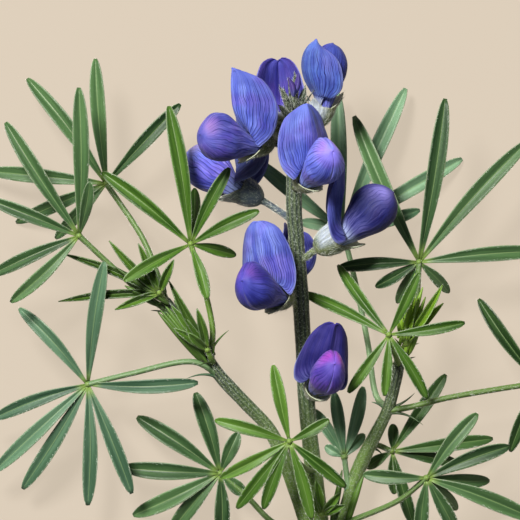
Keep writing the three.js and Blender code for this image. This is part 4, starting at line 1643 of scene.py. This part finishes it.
    def calyx_skin(self, columns: int = 96, outer: int = 15, inner: int = 9) -> Skin:
        """Builds the calyx cup with its upper lip of two teeth and its long lower lip.

        The cup widens as an ellipse up to its mouth and then flares evenly. Each tooth reaches
        forward as a power of how near its middle is; the inside is the same surface, drawn in.

        Args:
            columns: Points round it.
            outer: Rings of its outside.
            inner: Rings of its inside.

        Returns:
            The closed surface.
        """
        angle = np.linspace(0, 2 * np.pi, columns, endpoint=False)
        rim = np.full(columns, CALYX_MOUTH)
        for middle, reach, height, power in CALYX_TEETH:
            away = np.abs((np.degrees(angle) - middle + 180) % 360 - 180)
            rim = rim + height * np.clip(1 - away / reach, 0, 1) ** power
        flare = np.where(np.sin(angle) > 0.1, CALYX_UPPER_FLARE, CALYX_LOWER_FLARE)

        def ring(shares: Array, inset: float, start: float) -> Array:
            """Gives rings from a start to the rim, drawn in by an inset."""
            forward = start + shares[:, None] * (rim - start)
            depth = (CALYX_MOUTH - forward) / CALYX_ROUNDING
            rounded = CALYX_RADIUS * np.sqrt(np.clip(1 - depth**2, 0.02, 1))
            flared = CALYX_RADIUS + flare * (forward - CALYX_MOUTH)
            reach = np.where(forward < CALYX_MOUTH, rounded, flared) - inset
            up = CALYX_MIDDLE + reach * np.sin(angle)
            return np.stack([forward, reach * np.cos(angle), up], axis=-1)

        out = np.linspace(0, 1, outer)
        back = np.linspace(1, 0, inner)
        own = np.concatenate([ring(out, 0.0, CALYX_BASE), ring(back, CALYX_WALL, CALYX_BOTTOM)])
        shape = own.shape[:2]
        along = np.broadcast_to(np.concatenate([out, back])[:, None], shape)
        around = np.broadcast_to(angle / np.pi - 1, shape)
        under = np.repeat([0.0, 1.0], [outer, inner])[:, None]
        upper = ease(np.sin(angle), -0.2, 0.5) * ease(along, 0.1, 0.6)
        return Skin(self.placed_in_plant(own), around, along, under, upper)

    def build(self, hairs: Hairs, rng: Random) -> None:
        """Builds the floret's four pieces and the hairs of its calyx and stalk.

        Args:
            hairs: Where its hairs are added.
            rng: The random draw.
        """
        node = f"floret_{self.number}"
        own = np.array([[-1.2, 0, CALYX_MIDDLE], [0.1, 0, CALYX_MIDDLE]])
        path = smooth_route([self.root, *self.placed_in_plant(own).tolist()], 26)
        share = np.linspace(0, 1, 26)
        radii = 0.5 + 0.1 * np.exp(-share / 0.1) + 0.1 * ease(share, 0.8, 1.0)
        stalk = tube(path, radii, 14, (5, 0.03))
        cup = self.calyx_skin()
        down = self.slate_cup_hairs if self.cup is Cup.SHADED_SLATE else self.cup_hairs
        hairs.cover(cup, down, Hair.CALYX, rng, (1, 14))
        hairs.cover(stalk, self.stalk_hairs, Hair.CALYX, rng, (2, 26))
        for name, skins, material, part in (
            ("calyx_cup", [cup, stalk], cup_material(self.cup), "calyx"),
            ("banner_petal", [self.banner_skin()], self.banner_finish.material(), "banner"),
            ("wing_petals", [self.wing_skin()], self.wing_finish.material(), "wings"),
            ("keel_petals", [self.keel_skin()], self.keel_material, "keel"),
        ):
            skinned(f"{node}_{name}", skins, material, part, f"{node}_{part}")


@dataclass
class BudWork:
    """One bud.

    Attributes:
        at: Its foot.
        to: The way it points.
        length: Its length.
        radius: Radius of its solid.
        slimness: Its own radius as a share of that.
        bend: How far it bends aside.
    """

    at: list[float]
    to: list[float]
    length: float
    radius: float
    slimness: float = 0.66
    bend: float = 0.22

    def skin(self, sides: int = 20, rows: int = 18) -> Skin:
        """Builds the spindle: full at a third of its length, pointed at its tip, slightly bent.

        Args:
            sides: Points round it.
            rows: Rings along it.

        Returns:
            The closed surface.
        """
        share = np.linspace(0, 1, rows)
        way = unit(np.array(self.to, float))
        aside = unit(np.cross(way, [0.4, 0.2, 1.0]))
        path = np.array(self.at, float) + (share * self.length)[:, None] * way
        path = path + (self.bend * np.sin(np.pi * share))[:, None] * aside
        swell = np.sin(np.pi * np.clip(0.12 + 0.88 * share, 0, 1) ** 0.8) ** 0.8
        radii = self.slimness * self.radius * np.maximum(swell, 0.05)
        return tube(path, radii, sides, (2, 0.08), tint=0.4)


@dataclass
class TipWork:
    """The tuft of green buds at the tip of the spike, and the first petals that show from it.

    Attributes:
        buds: The green buds.
        petals: The first petals, built as buds are.
        bracts: Number of slim bracts between the buds.
        bract_radius: Radius of a bract at its foot.
        bud_hairs: Hairs on each bud.
        bract_hairs: Hairs on each bract.
    """

    buds: list[BudWork]
    petals: list[BudWork]
    bracts: int = 12
    bract_radius: float = 0.2
    bud_hairs: int = 260
    bract_hairs: int = 50

    def bract(self, bud: BudWork, rng: Random) -> Skin:
        """Builds a slim pointed tube beside a bud, with a place, way and length of its own.

        Args:
            bud: The bud.
            rng: The random draw.

        Returns:
            The closed surface.
        """
        way = unit(np.array(bud.to, float) + rng.normal(0, 0.1, 3))
        foot = np.array(bud.at, float) + rng.normal(0, 0.3, 3)
        share = np.linspace(0, 1, 10)[:, None]
        path = foot + share * way * bud.length * rng.uniform(0.75, 1.0)
        return tube(path, self.bract_radius * (1 - share[:, 0] ** 1.5) + 0.03, 8, tint=0.3)

    def build(self, hairs: Hairs, rng: Random) -> None:
        """Builds the buds, slim silky bracts between them, and the petals.

        Args:
            hairs: Where its hairs are added.
            rng: The random draw.
        """
        skins = [bud.skin() for bud in self.buds]
        for skin in skins:
            hairs.cover(skin, self.bud_hairs, Hair.BUD, rng)
        for number in range(self.bracts):
            bract = self.bract(self.buds[number % len(self.buds)], rng)
            hairs.cover(bract, self.bract_hairs, Hair.BRACT, rng)
            skins.append(bract)
        green = SilkyFinish("bud_silky_green", green=(78, 90, 64), shaded=(34, 40, 36),
                            upper=(78, 90, 64), silver=0.34)
        skinned("bud_tuft_silky", skins, green.material(), "bud", "bud_tuft")
        violet = PetalFinish("bud_petal_violet", face=(86, 78, 168), back=(78, 76, 160),
                             flush=(130, 104, 184), base=(110, 102, 180), strength=0.45)
        petals = [bud.skin() for bud in self.petals]
        skinned("bud_petal_tips", petals, violet.material(), "bud_petal", "bud_petals")


def look(way: Array) -> tuple[float, float, float, float]:
    """Gives the turn that points a light's -Z along a direction."""
    return tuple(Vector(way.tolist()).to_track_quat("-Z", "Y"))


@dataclass
class Studio:
    """The pale floor, the soft lights and the camera that looks straight down on the plant.

    Attributes:
        middle: The point that the camera and the lights face, in millimetres.
        view_width: Width of the view at that point, in millimetres.
        lens: Focal length of the camera.
        sensor: Width of its sensor.
        floor_half: Half the width of the floor, in metres.
        floor_colour: Colour of the floor.
        floor_glow: Colour of the light that it gives off.
        sky_strength: Strength of the light from all round.
    """

    middle: tuple[float, float, float] = (-10.5, 49.5, 12.0)
    view_width: float = 78.0
    lens: float = 900.0
    sensor: float = 36.0
    floor_half: float = 4.0
    floor_colour: Shade = (74, 69, 63)
    floor_glow: Shade = (204, 190, 171)
    sky_strength: float = 0.11

    def build(self) -> None:
        """Builds the floor, lights, surroundings and camera."""
        self.floor()
        self.light("key", place=(-0.26, 0.38, 0.64), size=0.2, power=11.2, colour=(1.0, 0.97, 0.93))
        self.light("fill", place=(0.45, -0.15, 0.55), size=0.6, power=0.35, colour=(0.94, 0.97, 1.0))
        world = bpy.data.worlds.new("studio")
        world.use_nodes = True
        sky = world.node_tree.nodes["Background"]
        sky.inputs["Color"].default_value = (1.0, 0.98, 0.96, 1.0)
        sky.inputs["Strength"].default_value = self.sky_strength
        bpy.context.scene.world = world
        bpy.context.scene.view_settings.view_transform = "Standard"
        self.camera()

    def floor(self) -> None:
        """Builds the floor as a flat sheet under the plant, lit a little from within."""
        half = self.floor_half
        mesh = bpy.data.meshes.new("floor")
        corners = [(-half, -half, 0), (half, -half, 0), (half, half, 0), (-half, half, 0)]
        mesh.from_pydata(corners, [], [(0, 1, 2, 3)])
        finish = PlainFinish("floor_warm", self.floor_colour, 0.9, mottle=0.08, spot=60.0).material()
        shader = finish.node_tree.nodes["Principled BSDF"]
        shader.inputs["Emission Color"].default_value = linear(*self.floor_glow)
        shader.inputs["Emission Strength"].default_value = 1.0
        mesh.materials.append(finish)
        floor = linked("floor", mesh)

    def light(self, name: str, place: tuple[float, float, float], size: float, power: float,
              colour: tuple[float, float, float]) -> None:
        """Hangs a soft square light that faces the plant's middle.

        Args:
            name: Its name.
            place: Where it hangs, in metres from the plant's middle.
            size: Its width in metres.
            power: Its power in watts.
            colour: Its colour in linear values.
        """
        lamp = bpy.data.lights.new(name, "AREA")
        lamp.size, lamp.energy, lamp.color = size, power, colour
        thing = linked(name, lamp)
        target = np.array(self.middle) * MM
        spot = target + np.array(place)
        thing.location = spot
        thing.rotation_mode = "QUATERNION"
        thing.rotation_quaternion = look(target - spot)
        thing.visible_camera = False

    def camera(self) -> None:
        """Sets a long-lens camera that sees the view width at the plant's middle."""
        data = bpy.data.cameras.new("camera")
        data.lens, data.sensor_width = self.lens, self.sensor
        data.clip_start, data.clip_end = 0.1, 20.0
        camera = linked("camera", data)
        distance = self.view_width * self.lens / self.sensor
        x, y, z = self.middle
        camera.location = (x * MM, y * MM, (z + distance) * MM)
        bpy.context.scene.camera = camera


def leaves() -> list[LeafWork]:
    """Lists all leaves of the plant: name, stalk, leaflets, green and what is special."""
    return [
        LeafWork(
            "leaf_left_1",
            [[-24.9, 43.9, 11], [-25.8, 47, 10.6], [-28, 52.5, 9.3], [-33.6, 61, 7]],
            [[127, 19.8, -2], [95, 18.8, 2], [47, 16.3, 2], [174, 18.3, -4], [-157, 14.9, -7],
             [-133, 11.3, -4]],
            Green.MIDDLE, seat=True,
        ),
        LeafWork(
            "leaf_left_2",
            [[-23.2, 41.2, 11.2], [-28, 44.4, 11.6], [-33, 48.8, 12.2], [-37.6, 53.1, 13.4]],
            [[123, 20.3, -1], [90, 22.2, 4], [78, 8.2, 6], [158, 14.7, -1], [-156, 14.6, -2],
             [-136, 14.3, -1]],
            Green.MIDDLE, stipule=3.2,
        ),
        LeafWork(
            "leaf_left_3",
            [[-18.6, 35, 10], [-17.6, 38, 11.4], [-18.8, 45, 12.6], [-20.9, 51.9, 13]],
            [[141, 17.1, -1], [99, 20.9, 2], [86, 8.4, -5], [63, 12.8, 3], [26, 11.4, 2.6],
             [-14, 7, -3.5], [-151, 11.4, 5], [-73, 8.6, 3]],
            Green.FRESH, stipule=4.2,
        ),
        LeafWork(
            "leaf_left_4",
            [[-16.4, 32, 9.2], [-20.4, 34.2, 11], [-30, 32.4, 9.5], [-36.4, 30.8, 8]],
            [[82, 18.6, 7], [132, 15.4, -1], [1, 16.6, 3], [-160, 15.3, -2], [-137, 19.4, -2.5],
             [-122, 18.6, -4], [-90, 18.2, -1], [-68, 17.7, 0]],
            Green.SILKY, stipule=4.4,
        ),
        LeafWork(
            "leaf_left_5",
            [[-2, 5.8, 2], [-5.5, 8.2, 2.6], [-9, 10.3, 3.2], [-12.4, 13.8, 4],
             [-16.5, 17.4, 4.5]],
            [[146, 15.1, -1.5], [107, 12.7, 0.5], [66, 6.7, 0.5], [177, 14.7, -1],
             [-154, 14.6, -2.5], [-130, 12, -3], [-89, 9.9, -2], [-41, 5, -1]],
            Green.MIDDLE, breadth=1.25,
        ),
        LeafWork(
            "leaf_front",
            [[-2.4, 17.6, 3.8], [-4, 18.4, 8.5], [-5.5, 20.2, 12], [-6.1, 22.3, 13.5]],
            [[102, 11.7, 0.5], [164, 11.6, -0.5], [-152, 11.7, -2.5], [-128, 12.8, -3.5],
             [-111, 10.9, -2.5], [-74, 12.2, -2.5], [-39, 10.9, -2], [29, 6.8, 1]],
            Green.FRESH,
        ),
        LeafWork(
            "leaf_behind_spike",
            [[8.7, 27.2, 8.4], [7, 29, 6], [5.7, 37, 4.6], [3.4, 48.1, 3.6], [1.9, 53.9, 3.2]],
            [[141, 17.6, -0.2], [92, 20.9, -0.2], [66, 23.5, -1.2], [31, 21.1, -3.2],
             [15, 12.1, -1.6], [168, 6.5, -2]],
            Green.WAXY, seat=True,
        ),
        LeafWork(
            "leaf_right_1",
            [[10.2, 33.6, 10.1], [12.2, 36.6, 9.6], [12.9, 41, 9.6], [13.4, 49.2, 9.5]],
            [[114, 24, -2.5], [81, 24.8, 2.5], [48, 24.5, 0.5], [5, 18.9, -1.5], [-45, 6.5, -5],
             [-176, 12.2, -1.5], [-150, 7.5, -2.5], [-118, 7, -4.5]],
            Green.MIDDLE,
        ),
        LeafWork(
            "leaf_right_2",
            [[10.3, 33.6, 10.1], [9.9, 35, 12.8], [9.3, 36.6, 14.4], [8.8, 38.3, 15]],
            [[154, 14.4, -7], [126, 12.9, -6], [64, 10.3, 3], [9, 11.5, 1], [-59, 11.2, -1],
             [-94, 9.2, 0], [-125, 10.6, -1]],
            Green.FRESH, stipule=3.6, breadth=0.88,
        ),
        LeafWork(
            "leaf_right_3",
            [[8.6, 26.8, 8.2], [12, 27.4, 9.2], [17.7, 28.8, 9.4], [28.5, 30.6, 9.2],
             [31.5, 31, 9]],
            [[126, 15.6, 0], [86, 11.7, 2], [44, 12.5, 0], [-6, 10.9, -2], [-49, 11.9, -3],
             [-113, 11.2, -2]],
            Green.DEEP, stipule=4.4,
        ),
        LeafWork(
            "leaf_right_4",
            [[1.4, 9.4, 2.6], [3.9, 10.5, 5], [10.5, 13.5, 9.6], [14.5, 16.8, 12]],
            [[52, 12.3, 1], [21, 13.3, 0], [-3, 9.5, -4], [-21, 17.4, -2], [-46, 6.7, -5],
             [-61, 9.7, -3], [-96, 9.4, -3], [177, 9.5, -1]],
            Green.MIDDLE, breadth=1.15,
        ),
        LeafWork(
            "leaf_right_5",
            [[5.9, 21.5, 6.2], [7.3, 21.6, 4.8], [9.4, 20.7, 4]],
            [[7, 15.3, -1.5], [55, 14.1, 0], [-11, 10.4, -2.5], [-87, 6.5, -2],
             [-74, 11.9, -2.5], [-146, 4.6, -2], [88, 4.1, -0.5]],
            Green.DEEP,
        ),
        LeafWork(
            "leaf_right_6",
            [[3.1, 14, 3.8], [2.7, 16, 4.8], [2.2, 19.8, 4.9]],
            [[99, 10, 0.5], [75, 11, -1], [123, 8.6, -1], [150, 3.3, -0.6], [49, 4.6, -1.4]],
            # Its pale waxy green is partly painted light: it lifts the leaflets that lie in the
            # stem's shadow
            Green.WAXY,
        ),
        LeafWork(
            "young_leaf_left",
            [[-24.4, 43, 11.5], [-25.2, 44, 13.4], [-25.6, 44.6, 14.2]],
            [[134, 10.8, 0.6], [158, 15.5, -4], [-175, 15.2, -5], [-159, 7.1, -1], [113, 8, 1.4],
             [66, 5.4, 1.6]],
            Green.YOUNG, young=True, stipule=1.5, unopened=3,
        ),
        LeafWork(
            "young_leaf_right",
            [[10.6, 35.4, 10.5], [11.2, 36.6, 12], [11.4, 37, 12.8]],
            [[79, 7.5, 2], [58, 10.4, 0.6], [47, 8.2, -1.6], [104, 5, 1]],
            Green.LIME, young=True, stipule=2.4, unopened=5,
        ),
        LeafWork(
            "young_leaf_base",
            [[0.9, 8, 2.4], [-0.6, 9.4, 4.6], [-1.2, 11.2, 6]],
            [[128, 4.9, 2], [100, 5.4, 2.6], [50, 4.4, 2.6], [22, 3.8, 2]],
            Green.YOUNG, young=True, stipule=1.6, unopened=2,
        ),
        LeafWork(
            "axil_leaf_left",
            [[-17.6, 33.8, 9.6], [-17.9, 34.8, 11.6], [-18.4, 36, 12.4]],
            [[119, 11.8, 1.4], [129, 8.6, 0.6], [104, 6.4, 2.4], [147, 6, 1.4], [138, 3.9, 3]],
            Green.YOUNG, young=True, stipule=3.4, unopened=8,
        ),
    ]


def banner_finish(name: str, face: Shade = (96, 112, 210), back: Shade = (78, 88, 176),
                  flush: Shade = (112, 112, 204), claw: float = 0.17) -> PetalFinish:
    """Gives a banner's finish: deep to lavender blue, with a silvery claw and painted shade on its
    margins.
    """
    return PetalFinish(f"{name}_banner_blue", face, back, flush, base=(196, 206, 230), claw=claw,
                       fade=0.7, low=0.4)


def wing_finish(name: str, face: Shade = (76, 76, 176), flush: Shade = (134, 104, 192),
                base: Shade = (104, 110, 194)) -> PetalFinish:
    """Gives a pair of wings' finish: blue-violet with a pink or magenta patch, and painted shade on
    their lower side.
    """
    return PetalFinish(f"{name}_wing_violet", face, (80, 78, 172), flush, base, rim=(140, 136, 214),
                       strength=0.75, claw=0.3, fade=0.62, low=0.6)


def florets(keel: Material) -> list[FloretWork]:
    """Lists the nine florets of the spike.

    Each row holds the point of the stem, the calyx base, the ways forward and up, then size, open,
    fold, width, hang and notch, the colouring of the calyx, and the finishes of banner and wings.

    Args:
        keel: The material of all keels.

    Returns:
        The florets, numbered from 1.
    """
    rows = [
        ([-5.8, 66, 15.2], [-9, 66.6, 15.9], [-0.8, 0.03, 0.6], [0.05, 1, 0.05],
         1, 1, 1, 1, 1, 0.4, Cup.GREEN,
         banner_finish("a", (70, 84, 170), (88, 104, 204)),
         wing_finish("a", (76, 82, 176), (146, 112, 180))),
        # Floret B: its slate calyx is painted shade, and its wings are partly painted light, paler
        # than the others to make up for the shadow that floret A casts on them
        ([-6.1, 55.8, 14.4], [-10.7, 58.3, 10.2], [-0.87, 0.47, -0.15], [0.4, 0.85, -0.3],
         1, 1, 1, 0.9, 1, 0.4, Cup.SHADED_SLATE,
         banner_finish("b", (70, 84, 146), (64, 76, 138)),
         wing_finish("b", (112, 126, 242), (190, 172, 232), (160, 176, 236))),
        ([-5.7, 69, 15.3], [-7.5, 69.4, 14.2], [0.05, 0, -1], [-0.07, 1, 0],
         0.88, 1, 1, 1.12, 1, 1.9, Cup.SILVER,
         banner_finish("c", (66, 68, 164), (60, 62, 150), (92, 70, 168)),
         wing_finish("c")),
        ([-5.5, 68.6, 15.4], [-1.5, 69.8, 15.7], [0.22, 0.97, 0.06], [-0.87, 0.1, 0.46],
         0.93, 0, 1, 1.1, 0.8, 0, Cup.SILVER,
         banner_finish("d", (76, 102, 192), (54, 80, 184)),
         wing_finish("d", (56, 70, 158), (58, 72, 162))),
        ([-5.8, 60.2, 14.9], [-4.4, 60.4, 17.7], [0.4, 0.34, 0.84], [-0.06, 0.97, 0],
         0.93, 1, 0.65, 1.2, 1, 0.4, Cup.GREEN,
         banner_finish("e", (64, 80, 170), (82, 98, 196)),
         wing_finish("e", (108, 122, 232), (158, 112, 196), (134, 150, 232))),
        # Floret F: the dark face of its wings is a painted shadow, the one that floret E casts, and
        # their pale flush is painted light on the lit tip
        ([-5.4, 48.5, 13.2], [-1.6, 50.9, 14.6], [0.83, 0.54, 0.15], [-0.3, 0.85, 0.3],
         1.08, 0.62, 1.5, 1, 1, 0.3, Cup.SILVER,
         banner_finish("f", (38, 52, 146), (62, 74, 160), claw=0.3),
         wing_finish("f", (38, 44, 112), (140, 132, 210), (180, 196, 230))),
        # Floret G: the dark face and flush of its banner are painted shade on its rolled-back margin
        ([-5, 42.6, 11.9], [-6.3, 43.4, 15.4], [-0.52, 0.14, 0.84], [-0.02, 0.9, -0.2],
         1, 0.92, 0.4, 1.15, 1, 1.1, Cup.GREEN,
         banner_finish("g", (40, 48, 122), (96, 112, 212), (40, 44, 122)),
         wing_finish("g", (54, 60, 160), (112, 76, 166))),
        ([-3.8, 29, 7.4], [-2.5, 29.4, 11.3], [0.24, 0.28, 0.92], [0.16, 0.97, -0.1],
         0.95, 0.62, 0.9, 1.15, 1, 2, Cup.GREEN,
         banner_finish("h", (60, 58, 160), (48, 44, 124), (56, 46, 132)),
         wing_finish("h", (90, 76, 184), (176, 66, 186), (116, 120, 196))),
        ([-5.4, 49.6, 13.4], [-4.8, 48.6, 10.4], [-0.5, -0.35, -0.79], [0.32, 0.94, -0.3],
         0.82, 1, 1, 1, 1, 0.4, Cup.GREEN,
         banner_finish("i", (60, 66, 156), (64, 70, 160)),
         wing_finish("i")),
    ]
    return [FloretWork(number, *row, keel) for number, row in enumerate(rows, 1)]


def tip() -> TipWork:
    """Gives the tuft of buds at the tip of the spike."""
    buds = [
        BudWork([-5.6, 72, 15.5], [0.05, 1, 0.25], 5.8, 0.9),
        BudWork([-6, 71.4, 15.8], [-0.35, 0.9, 0.45], 4.8, 0.85),
        BudWork([-5, 71.6, 15.9], [0.3, 0.95, 0.4], 4.6, 0.85),
        BudWork([-5.2, 71, 16], [0.05, 0.75, 1], 4.4, 0.85),
        BudWork([-6.2, 70.6, 15.9], [-0.45, 0.6, 0.9], 4, 0.8),
        BudWork([-5.2, 70, 16], [0.3, 0.5, 0.95], 3.6, 0.75),
    ]
    petals = [
        BudWork([-5.4, 74.4, 18.2], [0.2, 1, 0.25], 3.4, 0.85),
        BudWork([-5.5, 74.2, 18.6], [-0.3, 1, 0.5], 3, 0.8),
    ]
    return TipWork(buds, petals)


def main() -> None:
    """Builds the plant piece by piece, then the studio."""
    logging.basicConfig(level=logging.INFO, format="%(name)s: %(message)s")
    rng = np.random.default_rng(SEED)
    stem_hairs, leaf_hairs, calyx_hairs, bud_hairs = Hairs(), Hairs(), Hairs(), Hairs()
    StemWork().build(stem_hairs, rng)
    for leaf in leaves():
        leaf.build(leaf_hairs, rng)
    keel = PetalFinish("keel_pale", face=(206, 198, 226), back=(206, 198, 226), flush=(88, 60, 150),
                       base=(214, 214, 226), strength=0.3)
    for floret in florets(keel.material()):
        floret.build(calyx_hairs, rng)
    tip().build(bud_hairs, rng)
    silver = PlainFinish("hair_silver", (214, 220, 208), 0.35).material()
    stem_hairs.build("stem_hairs", silver, "stem")
    leaf_hairs.build("leaf_hairs", silver, "leaf")
    calyx_hairs.build("calyx_hairs", silver, "calyx")
    bud_hairs.build("bud_hairs", silver, "bud")
    Studio().build()


if __name__ == "__main__":
    main()
